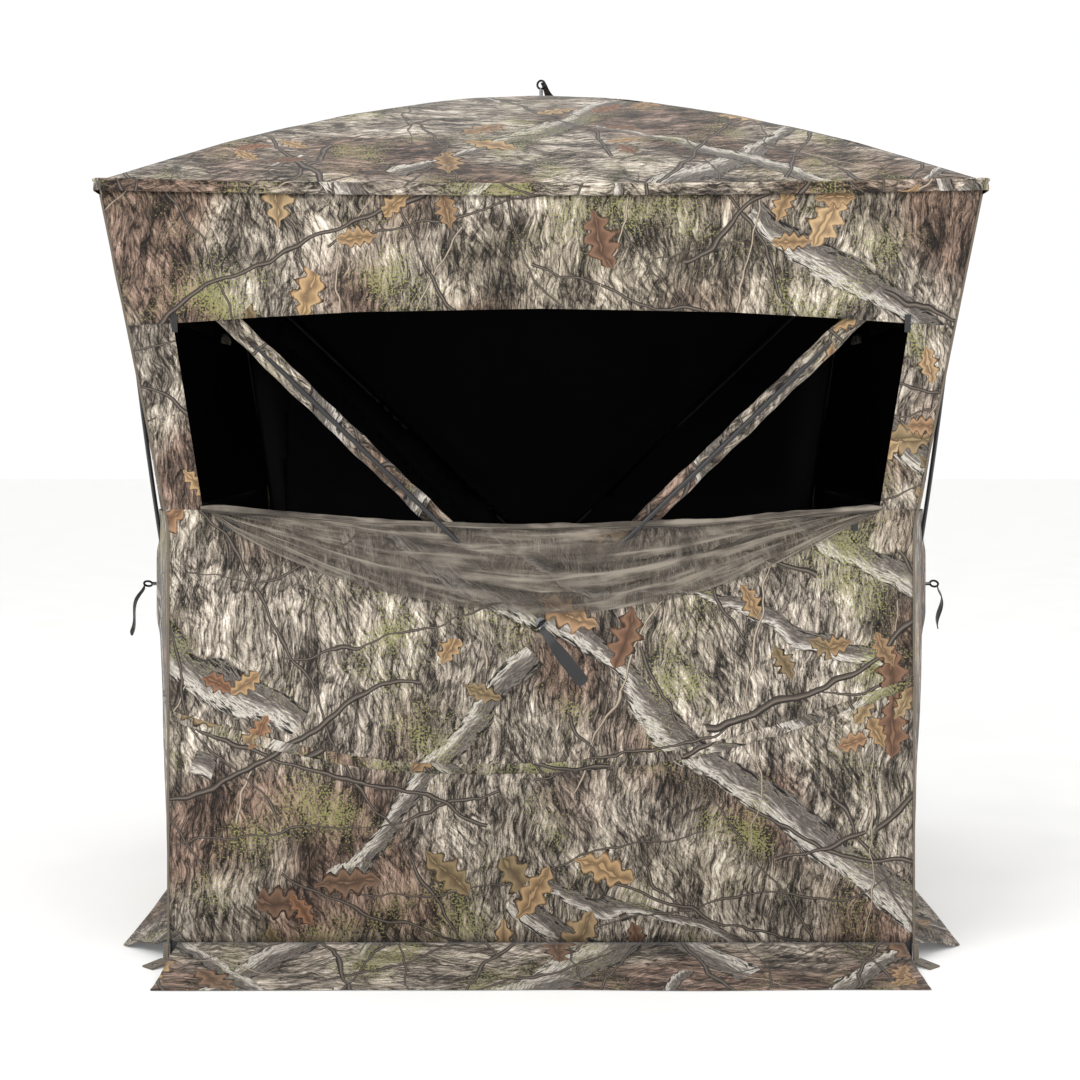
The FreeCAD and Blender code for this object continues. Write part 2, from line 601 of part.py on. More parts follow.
def hub_housing(directions):
    """The moulded body behind the cloth, with a slot and a pin bore for each rod."""
    body = Part.makeCylinder(HUB_R, HUB_THICK, V(0, 0, -CLOTH - HUB_GAP - HUB_THICK))
    body = body.makeFillet(3.0, [e for e in body.Edges if e.CenterOfMass.z < -HUB_THICK])
    for radial in directions:
        across = V(0, 0, 1).cross(radial)
        depth = HUB_THICK - SLOT_ROOF + 1
        middle = radial * (SLOT_START_R + HUB_R) + V(0, 0, -CLOTH - HUB_GAP - SLOT_ROOF - depth / 2)
        body = body.cut(placed_box((2 * HUB_R, SLOT_WIDTH, depth), middle, radial, V(0, 0, 1)))
        pin = radial * PIN_CIRCLE_R + V(0, 0, -PIN_DEPTH)
        body = body.cut(Part.makeCylinder(PIN_R + PIN_FIT, 2 * HUB_R, pin - across * HUB_R, across))
    return body.cut(Part.makeCylinder(BOLT_R + BOLT_FIT, 4 * HUB_THICK, V(0, 0, -3 * HUB_THICK)))


def lie_axes(lie):
    """The direction in which a strap lies in its hub's face, and the one across it."""
    angle = math.radians(lie)
    along = V(math.cos(angle), math.sin(angle), 0)
    return along, V(-along.y, along.x, 0)


def hub_clamp(directions, lie):
    """The eye bolt, its washer and nut, and the four rod pins."""
    parts = []
    bottom = -CLOTH - HUB_GAP - HUB_THICK - NUT_THICK - HUB_GAP
    shank_top = EYE_CENTRE - EYE_RING_R
    shank = Part.makeCylinder(BOLT_R, shank_top - bottom, V(0, 0, bottom))
    ring = Part.makeTorus(EYE_RING_R, EYE_WIRE_R, V(0, 0, EYE_CENTRE), lie_axes(lie)[0])
    parts.append(shank.fuse(ring))
    bore = BOLT_R + PIN_FIT
    washer = Part.makeCylinder(WASHER_R, WASHER_THICK, V(0, 0, HUB_GAP))
    parts.append(washer.cut(Part.makeCylinder(bore, 9 * WASHER_THICK, V(0, 0, -WASHER_THICK))))
    corners = [V(NUT_R * math.cos(k * math.pi / 3), NUT_R * math.sin(k * math.pi / 3), bottom) for k in range(6)]
    nut = Part.Face(Part.makePolygon(corners + corners[:1])).extrude(V(0, 0, NUT_THICK))
    parts.append(nut.cut(Part.makeCylinder(bore, 9 * NUT_THICK, V(0, 0, bottom - NUT_THICK))))
    for radial in directions:
        across = V(0, 0, 1).cross(radial)
        pin = radial * PIN_CIRCLE_R + V(0, 0, -PIN_DEPTH)
        parts.append(Part.makeCylinder(PIN_R, PIN_LENGTH, pin - across * (PIN_LENGTH / 2), across))
    return Part.makeCompound(parts)


def pull_strap(lie, droop):
    """The webbing pull: a sewn eye round the outermost wire of the bolt's ring, and the tail."""
    bore, outside, long = STRAP_LOOP
    along, across = lie_axes(lie)
    pivot = V(0, 0, EYE_CENTRE + EYE_RING_R)
    eye = Part.makeCylinder(outside, long, pivot - across * (long / 2), across)
    tail_at = pivot + along * (outside * 0.8 + STRAP_LENGTH / 2)
    tail = placed_box((STRAP_LENGTH, STRAP_WIDTH, STRAP_THICK), tail_at, along, V(0, 0, 1))
    end = tail_at + along * (STRAP_LENGTH / 2)
    tail = tail.makeFillet(1.2, [e for e in tail.Edges if (e.CenterOfMass - end).Length < STRAP_WIDTH * 0.4])
    strap = eye.fuse(tail).cut(Part.makeCylinder(bore, 9 * long, pivot - across * (4 * long), across))
    strap.rotate(pivot, across, droop)
    return strap


def make_hubs():
    wall_tips, roof_tips = rod_tips()
    for side, quarter in [*SIDES.items(), ("roof", None)]:
        tips = roof_tips if quarter is None else wall_tips
        frame = ROOF_HUB if quarter is None else WALL_HUB
        bow = ROOF_BOW if quarter is None else WALL_BOW
        directions = [V(t[0], t[1], 0).normalize() for t in tips.values()]
        lie, droop = (ROOF_STRAP_LIE, ROOF_STRAP_DROOP) if quarter is None else (STRAP_LIE, STRAP_DROOP)
        pieces = {f"{side}_hub_housing": hub_housing(directions)}
        pieces[f"{side}_hub_clamp"] = hub_clamp(directions, lie)
        pieces[f"{side}_pull_strap"] = pull_strap(lie, droop)
        for name, tip in tips.items():
            pieces[f"{side}_pole_{name}"] = make_rod(tip, bow)
        for name, shape in pieces.items():
            shape.Placement = frame.placement().multiply(shape.Placement)
            save(shape if quarter is None else turned(shape, quarter), name)
        report_hub(side, quarter, frame, tips, bow, lie)


def report_hub(side, quarter, frame, tips, bow, lie):
    """Prints each joint's place and axis, for the record."""
    spin = FreeCAD.Rotation(V(0, 0, 1), 90.0 * (quarter or 0))
    out = spin.multVec(frame.out)
    print("JOINT", f"{side}_hub", "slide", [round(-x, 6) for x in out])
    placed = frame.placement()
    strap = spin.multVec(placed.multVec(V(0, 0, EYE_CENTRE + EYE_RING_R)))
    axis = spin.multVec(placed.Rotation.multVec(lie_axes(lie)[1] * -1))
    print("JOINT", f"{side}_strap", "hinge", [round(x / 1000, 6) for x in strap], [round(x, 6) for x in axis])
    travel = ROOF_TRAVEL if side == "roof" else WALL_TRAVEL
    for name, tip in tips.items():
        pin, end, radial, _, _, _ = rod_line(tip, bow)
        length = (end - pin).Length
        start = math.asin((pin.z - end.z) / length)
        stop = math.asin((pin.z - end.z - travel) / length)
        axis = spin.multVec(placed.Rotation.multVec(radial.cross(V(0, 0, 1))))
        place = spin.multVec(placed.multVec(pin))
        print(
            "JOINT",
            f"{side}_pole_{name}",
            "hinge",
            [round(x / 1000, 6) for x in place],
            [round(x, 6) for x in axis],
            "turn",
            round(start - stop, 6),
            "travel",
            travel / 1000,
        )


# --- corner sockets -------------------------------------------------------------------------------------
def cup(base, direction, length, radii):
    """The outside and the hollow of a trumpet that opens along a direction."""
    outer = Part.makeCone(radii[0] + SOCKET_WALL, radii[1] + SOCKET_WALL, length, base, direction)
    floor = base - direction * SOCKET_WALL
    outer = outer.fuse(Part.makeCylinder(radii[0] + SOCKET_WALL, SOCKET_WALL, floor, direction))
    hollow = Part.makeCone(radii[0], radii[1], length + 0.01, base, direction)
    return outer, hollow


def cup_line(tip, bow, travel, depth):
    """A cup's base and direction in its hub's frame: the rod's lie at half of the hub's travel."""
    pin, end, radial, _, _, last = rod_line(tip, bow)
    length = (end - pin).Length
    turn = math.asin((pin.z - end.z) / length) - math.asin((pin.z - end.z - travel) / length)
    angle = math.asin(-last.z) - turn / 2
    direction = V(0, 0, math.sin(angle)) - radial * math.cos(angle)
    return end - direction * depth, direction


def wall_cup(spec, high, mirror):
    """A cup for the front wall's right rod, or its mirror image, placed on the corner at +u."""
    base, direction = cup_line(wall_rod_ends(spec, high), WALL_BOW, WALL_TRAVEL, spec["tip"])
    placed = WALL_HUB.placement()
    base, direction = placed.multVec(base), placed.Rotation.multVec(direction)
    if mirror:
        base, direction = V(-base.x, base.y, base.z), V(-direction.x, direction.y, direction.z)
    return base, direction


def corner_cups(spec, high):
    """The two wall cups that meet at the corner at -X -Y: the front wall's left and the left wall's right."""
    front = wall_cup(spec, high, True)
    turn = FreeCAD.Rotation(V(0, 0, 1), 90.0 * SIDES["left"])
    base, direction = wall_cup(spec, high, False)
    return [front, (turn.multVec(base), turn.multVec(direction))]


def block_reach(z, rounding):
    """How far out a block with rounded uprights can stand in a corner before it meets the walls."""
    out = corner_half(z)
    turns = [math.radians(5.0 * k) for k in range(10)]
    for _ in range(20):
        gaps = [wall_w(out - rounding * (1 - math.sin(a)), z) - out + rounding * (1 - math.cos(a)) for a in turns]
        out += min(gaps) - CLOTH - 2 * SEAM_GAP
    return out


def make_sockets():
    cups = [cup(b, d, UPPER_CUP["length"], UPPER_CUP["r"]) for b, d in corner_cups(UPPER_CUP, True)]
    reach, depth = roof_rod_tip()
    base, direction = cup_line((-reach, -reach, depth), ROOF_BOW, ROOF_TRAVEL, ROOF_CUP["tip"])
    placed = ROOF_HUB.placement()
    cups.append(cup(placed.multVec(base), placed.Rotation.multVec(direction), ROOF_CUP["length"], ROOF_CUP["r"]))
    out = block_reach(TOP_BLOCK_Z[0], TOP_BLOCK_ROUND)
    height = TOP_BLOCK_Z[1] - TOP_BLOCK_Z[0]
    block = Part.makeBox(TOP_BLOCK_SIZE, TOP_BLOCK_SIZE, height, V(-out, -out, TOP_BLOCK_Z[0]))
    save(corner_set(block, cups, TOP_BLOCK_ROUND), "top_corner_sockets")
    cups = [cup(b, d, LOWER_CUP["length"], LOWER_CUP["r"]) for b, d in corner_cups(LOWER_CUP, False)]
    out = BASE_HALF - CLOTH - SEAM_GAP
    block = Part.makeBox(FOOT_SIZE, FOOT_SIZE, FOOT_TOP, V(-out, -out, 0))
    save(corner_set(block, cups, FOOT_ROUND), "bottom_corner_sockets")


def corner_set(block, cups, rounding):
    """One socket made of a block and its cups, repeated at the four corners."""
    upright = [e for e in block.Edges if abs(e.tangentAt(e.FirstParameter).z) > 0.99]
    body = block.makeFillet(rounding, upright)
    for outer, _ in cups:
        body = body.fuse(outer)
    for _, hollow in cups:
        body = body.cut(hollow)
    return Part.makeCompound([turned(body, k) for k in range(4)])


make_walls()
make_roof()
make_eave()
make_bindings()
make_skirts()
make_stake_loops()
make_hubs()
make_sockets()
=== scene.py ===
"""Looks of a pop-up hub ground blind: printed cloth tensioned over sprung rods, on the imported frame.

Everything is in metres in the frame's own axes: +Z up, the wide window faces -Y, the origin on the ground.
Cloth is drawn flat on a wall (u to the right seen from outside, z up), cut along its seams, laid over the
wall's curved form and given its thickness inwards.
"""

import logging
import math
from collections.abc import Callable, Iterable, Sequence
from dataclasses import dataclass
from enum import Enum
from functools import partial

import bmesh
import bpy
import numpy as np
from mathutils import Matrix, Vector, noise


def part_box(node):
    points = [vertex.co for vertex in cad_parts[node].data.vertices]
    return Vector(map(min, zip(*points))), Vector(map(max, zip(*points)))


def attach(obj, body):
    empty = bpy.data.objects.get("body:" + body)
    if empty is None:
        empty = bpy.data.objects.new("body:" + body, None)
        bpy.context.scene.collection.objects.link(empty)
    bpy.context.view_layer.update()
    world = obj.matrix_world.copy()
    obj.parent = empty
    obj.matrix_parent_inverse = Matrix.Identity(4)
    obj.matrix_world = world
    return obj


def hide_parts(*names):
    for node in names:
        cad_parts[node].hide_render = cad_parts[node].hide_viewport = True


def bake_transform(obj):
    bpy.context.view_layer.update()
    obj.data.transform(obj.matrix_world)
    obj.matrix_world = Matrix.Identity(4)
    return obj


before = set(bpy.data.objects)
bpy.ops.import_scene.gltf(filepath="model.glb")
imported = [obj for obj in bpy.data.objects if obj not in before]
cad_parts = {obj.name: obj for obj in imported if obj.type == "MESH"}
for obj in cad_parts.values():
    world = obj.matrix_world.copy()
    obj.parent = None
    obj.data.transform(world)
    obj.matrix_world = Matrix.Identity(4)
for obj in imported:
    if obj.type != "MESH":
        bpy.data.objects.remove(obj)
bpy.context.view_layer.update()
LOG = logging.getLogger("blind")

Point2 = tuple[float, float]
Keep = Callable[[float, float], bool]
Socket = bpy.types.NodeSocket
Add = Callable[..., Socket]
Stops = Sequence[tuple[float, str]]


class Side(Enum):
    """A wall, and its quarter turns from the front."""

    FRONT = 0
    RIGHT = 1
    BACK = 2
    LEFT = 3

    @property
    def word(self) -> str:
        """The wall's name in lower case."""
        return self.name.lower()

    def turn(self) -> Matrix:
        """The turn that carries the front wall to this one."""
        return Matrix.Rotation(math.pi / 2 * self.value, 4, "Z")


class Field(Enum):
    """One of the four fields of cloth between a hub's rods."""

    TOP = "top"
    BOTTOM = "bottom"
    LEFT = "left"
    RIGHT = "right"


# ---------------------------------------------------------------------------------------------------------
# Node building
# ---------------------------------------------------------------------------------------------------------
def linear(hex_colour: str) -> tuple[float, float, float, float]:
    """Turns an sRGB hex colour into the linear value that a shader socket takes.

    Args:
        hex_colour: Six hex digits, with or without a hash.

    Returns:
        Linear red, green and blue, with an alpha of one.
    """
    digits = hex_colour.lstrip("#")
    parts = [int(digits[k : k + 2], 16) / 255 for k in (0, 2, 4)]
    low = [c / 12.92 if c <= 0.04045 else ((c + 0.055) / 1.055) ** 2.4 for c in parts]
    return (low[0], low[1], low[2], 1.0)


def add_node(
    tree: bpy.types.NodeTree, kind: str, *values, out: int | str = 0, stops: Stops = (), **settings
) -> Socket:
    """Adds one shader node, sets it and links it.

    Args:
        tree: The material's node tree.
        kind: The node's type name without its ShaderNode prefix, then a dot and its operation if it has one.
        *values: Inputs in order, or one dict of input name or number to value. An output socket is linked.
        out: The output to return.
        stops: (place, hex colour) pairs of a colour ramp, in rising order.
        **settings: The node's own properties.

    Returns:
        The output socket.
    """
    word, _, operation = kind.partition(".")
    node = tree.nodes.new("ShaderNode" + word)
    for name, value in settings.items():
        setattr(node, name, value)
    if operation:
        node.operation = operation
    given = values[0] if values and isinstance(values[0], dict) else dict(enumerate(values))
    for name, value in given.items():
        if isinstance(value, bpy.types.NodeSocket):
            tree.links.new(value, node.inputs[name])
        else:
            node.inputs[name].default_value = value
    if stops:
        band = node.color_ramp.elements
        band.remove(band[1])
        band[0].position, band[0].color = stops[0][0], linear(stops[0][1])
        for place, colour in stops[1:]:
            band.new(place).color = linear(colour)
    return node.outputs[out]


class Recipe:
    """A material in the making: add adds a node to it and close ends it."""

    def __init__(self, name: str) -> None:
        """Makes an empty material of that name."""
        self.material = bpy.data.materials.new(name)
        self.material.use_nodes = True
        self.tree = self.material.node_tree
        self.tree.nodes.clear()
        self.add = partial(add_node, self.tree)

    def close(self, **sockets) -> bpy.types.Material:
        """Ends the material in a Principled shader.

        Args:
            **sockets: Principled input names, with underscores for spaces, to values or sockets.

        Returns:
            The finished material.
        """
        inputs = {name.replace("_", " "): value for name, value in sockets.items()}
        shader = self.add("BsdfPrincipled", inputs)
        output = self.tree.nodes.new("ShaderNodeOutputMaterial")
        self.tree.links.new(shader, output.inputs[0])
        return self.material


# ---------------------------------------------------------------------------------------------------------
# The shell's form
# ---------------------------------------------------------------------------------------------------------
def soft_min(values: Sequence[float], reach: float) -> float:
    """The least of some lengths, rounded where two come within reach of each other."""
    least = min(values)
    return least - reach * math.log(sum(math.exp((least - v) / reach) for v in values))


def eased(value: float, low: float, high: float) -> float:
    """A smooth step from 0 at low to 1 at high."""
    share = min(1.0, max(0.0, (value - low) / (high - low)))
    return share * share * (3 - 2 * share)


@dataclass(frozen=True)
class Shell:
    """The tensioned form that every cloth piece lies on, drawn for the front wall and the roof."""

    base_half: float = 0.737
    top_half: float = 0.852
    roof_half: float = 0.857
    seam_z: float = 0.040
    waist_z: float = 0.860
    eave_z: float = 1.535
    hub_out: float = 0.889
    hub_z: float = 0.690
    peak_z: float = 1.825
    hub_flat: float = 0.042
    roof_bow: float = 0.034
    eave_sag: float = 0.011
    field_sag: float = 0.010
    ridge_round: float = 0.006
    corner_round: float = 0.014

    def half_width(self, z: float) -> float:
        """Half the wall's width at a height."""
        flare = (self.top_half - self.base_half) / (self.eave_z - self.waist_z)
        return self.base_half + max(0.0, z - self.waist_z) * flare

    def out(self, u: float, z: float) -> float:
        """How far the wall stands out from the middle of the footprint.

        Args:
            u: Distance to the right of the wall's middle.
            z: Height.

        Returns:
            The distance outwards of the cloth's outer face.
        """
        rise = self.hub_out - self.base_half
        across, flat = abs(u), self.hub_flat
        low = self.base_half + rise * (z - self.seam_z) / (self.hub_z - flat - self.seam_z)
        high = self.hub_out - (self.hub_out - self.top_half) * (z - self.hub_z - flat) / (
            self.eave_z - self.hub_z - flat
        )
        slope = rise / (self.base_half - flat)
        side_low = self.base_half + slope * (self.base_half - across)
        lean = (self.top_half - self.base_half + slope * (self.top_half - self.base_half)) / (
            self.eave_z - self.waist_z
        )
        side_high = side_low + lean * (z - self.waist_z)
        side = max(side_low, side_high)
        fields = [low, high, side]
        order = sorted(fields)
        edge = min(z - self.seam_z, self.half_width(z) - across, self.eave_z - z)
        slack = (1 - math.exp(-(order[1] - order[0]) / 0.03)) * eased(edge, 0.0, 0.22)
        out = soft_min([*fields, self.hub_out], self.ridge_round) - self.field_sag * slack
        crumple = noise.noise(Vector((u * 3.1, z * 2.3, 4.7)))
        crumple += 0.5 * noise.noise(Vector((u * 8.0, z * 5.0, 1.3)))
        out += 0.004 * crumple * eased(edge, 0.0, 0.15)
        free = eased(max(across, abs(z - self.hub_z)), flat, 3 * flat)
        return self.hub_out + (out - self.hub_out) * free

    def on_wall(self, u: float, z: float, lift: float = 0.0) -> Vector:
        """A point of the front wall, lifted outwards, with the eave's sag between its corners."""
        sag = self.eave_sag * (1 - (u / self.top_half) ** 2) * eased(z, self.eave_z - 0.3, self.eave_z)
        return Vector((u, -self.out(u, z) - lift, z - sag))

    def on_roof(self, x: float, y: float) -> Vector:
        """A point of the roof over (x, y), with rounded corners and fields that sag between the ridges."""
        across, along = abs(x), abs(y)
        ring = -soft_min([-across, -along], 0.012)
        share = 1 - min(1.0, max(0.0, (ring - self.hub_flat) / (self.roof_half - self.hub_flat)))
        height = self.eave_z + (self.peak_z - self.eave_z) * share + 4 * self.roof_bow * share * (1 - share)
        edge = eased(self.roof_half - max(across, along), 0.0, 0.25)
        apart = 1 - math.exp(-abs(across - along) / 0.15)
        hub_free = eased(max(across, along), 0.03, 0.2)
        height -= 0.012 * apart * edge * hub_free
        wave = noise.noise(Vector((x * 3.0, y * 3.0, 8.1)))
        wave += 0.5 * noise.noise(Vector((x * 9.0, y * 9.0, 2.9)))
        height += 0.004 * wave * edge * hub_free
        least = min(across, along)
        height -= self.eave_sag * (1 - (least / self.roof_half) ** 2) * (1 - eased(share, 0.0, 0.3))
        inner = self.roof_half - self.corner_round
        px, py = x, y
        if across > inner and along > inner:
            away = Vector((across - inner, along - inner))
            if away.length > self.corner_round:
                away *= self.corner_round / away.length
            px, py = math.copysign(inner + away.x, x), math.copysign(inner + away.y, y)
        return Vector((px, py, height))

    def field_at(self, u: float, z: float) -> Field:
        """The field of the wall that a point lies in."""
        up = (self.eave_z - self.hub_z) / self.top_half
        down = (self.hub_z - self.seam_z) / self.base_half
        if z - self.hub_z > up * abs(u):
            return Field.TOP
        if self.hub_z - z > down * abs(u):
            return Field.BOTTOM
        return Field.RIGHT if u > 0 else Field.LEFT


SHELL = Shell()


# ---------------------------------------------------------------------------------------------------------
# Objects
# ---------------------------------------------------------------------------------------------------------
def activate(obj: bpy.types.Object) -> None:
    """Selects one object alone and makes it active."""
    bpy.ops.object.select_all(action="DESELECT")
    obj.select_set(True)
    bpy.context.view_layer.objects.active = obj


def apply_modifier(obj: bpy.types.Object, kind: str, **settings) -> None:
    """Adds a modifier with its settings and applies it.

    Args:
        obj: The piece.
        kind: The modifier's type.
        **settings: Its properties.
    """
    activate(obj)
    modifier = obj.modifiers.new(kind.lower(), kind)
    for name, value in settings.items():
        setattr(modifier, name, value)
    bpy.ops.object.modifier_apply(modifier=modifier.name)


def dress(obj: bpy.types.Object, *materials: bpy.types.Material) -> None:
    """Gives a piece its materials, in slot order."""
    obj.data.materials.clear()
    for material in materials:
        obj.data.materials.append(material)


def surface(obj: bpy.types.Object) -> float:
    """The area of a piece's faces."""
    return sum(p.area for p in obj.data.polygons)


def make_piece(name: str, points: Sequence, faces: Sequence, spots: Sequence[Point2]) -> bpy.types.Object:
    """Makes a cloth surface with its place on the print.

    Args:
        name: The piece's name.
        points: Its corners in space.
        faces: Corner numbers of each face.
        spots: Each corner's place on the printed cloth, in metres.

    Returns:
        The object.
    """
    mesh = bpy.data.meshes.new(name)
    mesh.from_pydata([tuple(p) for p in points], [], [list(f) for f in faces])
    layer = mesh.uv_layers.new(name="print")
    for polygon in mesh.polygons:
        for loop in polygon.loop_indices:
            layer.data[loop].uv = spots[mesh.loops[loop].vertex_index]
        polygon.use_smooth = True
    obj = bpy.data.objects.new(name, mesh)
    bpy.context.scene.collection.objects.link(obj)
    return obj


def net_faces(rows: int, columns: int, closed: bool = False) -> list[tuple[int, int, int, int]]:
    """The faces of a net of points that was listed row by row.

    Args:
        rows: Points along the first way.
        columns: Points along the second way.
        closed: Whether the last column joins the first.

    Returns:
        Four corner numbers for each face.
    """
    faces = []
    for i in range(rows - 1):
        for j in range(columns if closed else columns - 1):
            k = (j + 1) % columns
            faces.append((i * columns + j, i * columns + k, (i + 1) * columns + k, (i + 1) * columns + j))
    return faces


@dataclass
class Cut:
    """A flat cut of cloth: corners in the plane and the faces between them."""

    corners: list[Point2]
    faces: list[list[int]]

    def area(self) -> float:
        """The flat area of the cut."""
        total = 0.0
        for ring in self.faces:
            spots = [self.corners[k] for k in ring]
            for (ax, ay), (bx, by) in zip(spots, [*spots[1:], spots[0]]):
                total += (ax * by - bx * ay) / 2
        return abs(total)


class FlatCloth:
    """A length of cloth laid out flat, cut along straight seams and picked apart into pieces."""

    def __init__(
        self, columns: Iterable[float], rows: Iterable[float], width: Callable[[float], float]
    ) -> None:
        """Lays out the cloth.

        Args:
            columns: Shares of the half width, from -1 to 1.
            rows: Heights.
            width: The half width at a height.
        """
        self.sheet = bmesh.new()
        shares, heights = list(columns), list(rows)
        net = [[self.sheet.verts.new((s * width(z), z, 0)) for s in shares] for z in heights]
        for low, high in zip(net, net[1:]):
            for k in range(len(shares) - 1):
                self.sheet.faces.new((low[k], low[k + 1], high[k + 1], high[k]))

    def seam(self, start: Point2, end: Point2, margin: float = 0.03) -> None:
        """Cuts the cloth's faces along a straight line.

        Args:
            start: One end, flat.
            end: The other end.
            margin: How far past the line's ends faces are still cut.
        """
        low = [min(start[k], end[k]) - margin for k in (0, 1)]
        high = [max(start[k], end[k]) + margin for k in (0, 1)]
        near = []
        for face in self.sheet.faces:
            middle = face.calc_center_median()
            if low[0] < middle.x < high[0] and low[1] < middle.y < high[1]:
                near.append(face)
        edges = {e for f in near for e in f.edges}
        verts = {v for f in near for v in f.verts}
        normal = (end[1] - start[1], start[0] - end[0], 0)
        geometry = [*verts, *edges, *near]
        bmesh.ops.bisect_plane(self.sheet, geom=geometry, dist=1e-5, plane_co=(*start, 0), plane_no=normal)

    def outline(self, points: Sequence[Point2]) -> None:
        """Cuts along a closed outline."""
        for k, point in enumerate(points):
            self.seam(points[k - 1], point)

    def line(self, points: Sequence[Point2]) -> None:
        """Cuts along an open line of points."""
        for start, end in zip(points, points[1:]):
            self.seam(start, end)

    def pick(self, keep: Keep) -> Cut:
        """The faces whose middle is kept, as a cut of its own."""
        self.sheet.verts.index_update()
        numbers: dict[int, int] = {}
        corners: list[Point2] = []
        faces = []
        for face in self.sheet.faces:
            middle = face.calc_center_median()
            if face.calc_area() < 1e-9 or not keep(middle.x, middle.y):
                continue
            ring = []
            for vert in face.verts:
                if vert.index not in numbers:
                    numbers[vert.index] = len(corners)
                    corners.append((vert.co.x, vert.co.y))
                ring.append(numbers[vert.index])
            faces.append(ring)
        return Cut(corners, faces)


def inside(points: Sequence[Point2]) -> Keep:
    """A test for being inside a convex outline that runs counter-clockwise."""

    def test(u: float, z: float) -> bool:
        """True on the inner side of every edge."""
        ends = zip(points, [*points[1:], points[0]])
        return all((b[0] - a[0]) * (z - a[1]) - (b[1] - a[1]) * (u - a[0]) > 0 for a, b in ends)

    return test


def height_on(line: Sequence[Point2], u: float) -> float:
    """The height at u of a line of points in rising order, level beyond its ends."""
    return float(np.interp(u, [p[0] for p in line], [p[1] for p in line]))


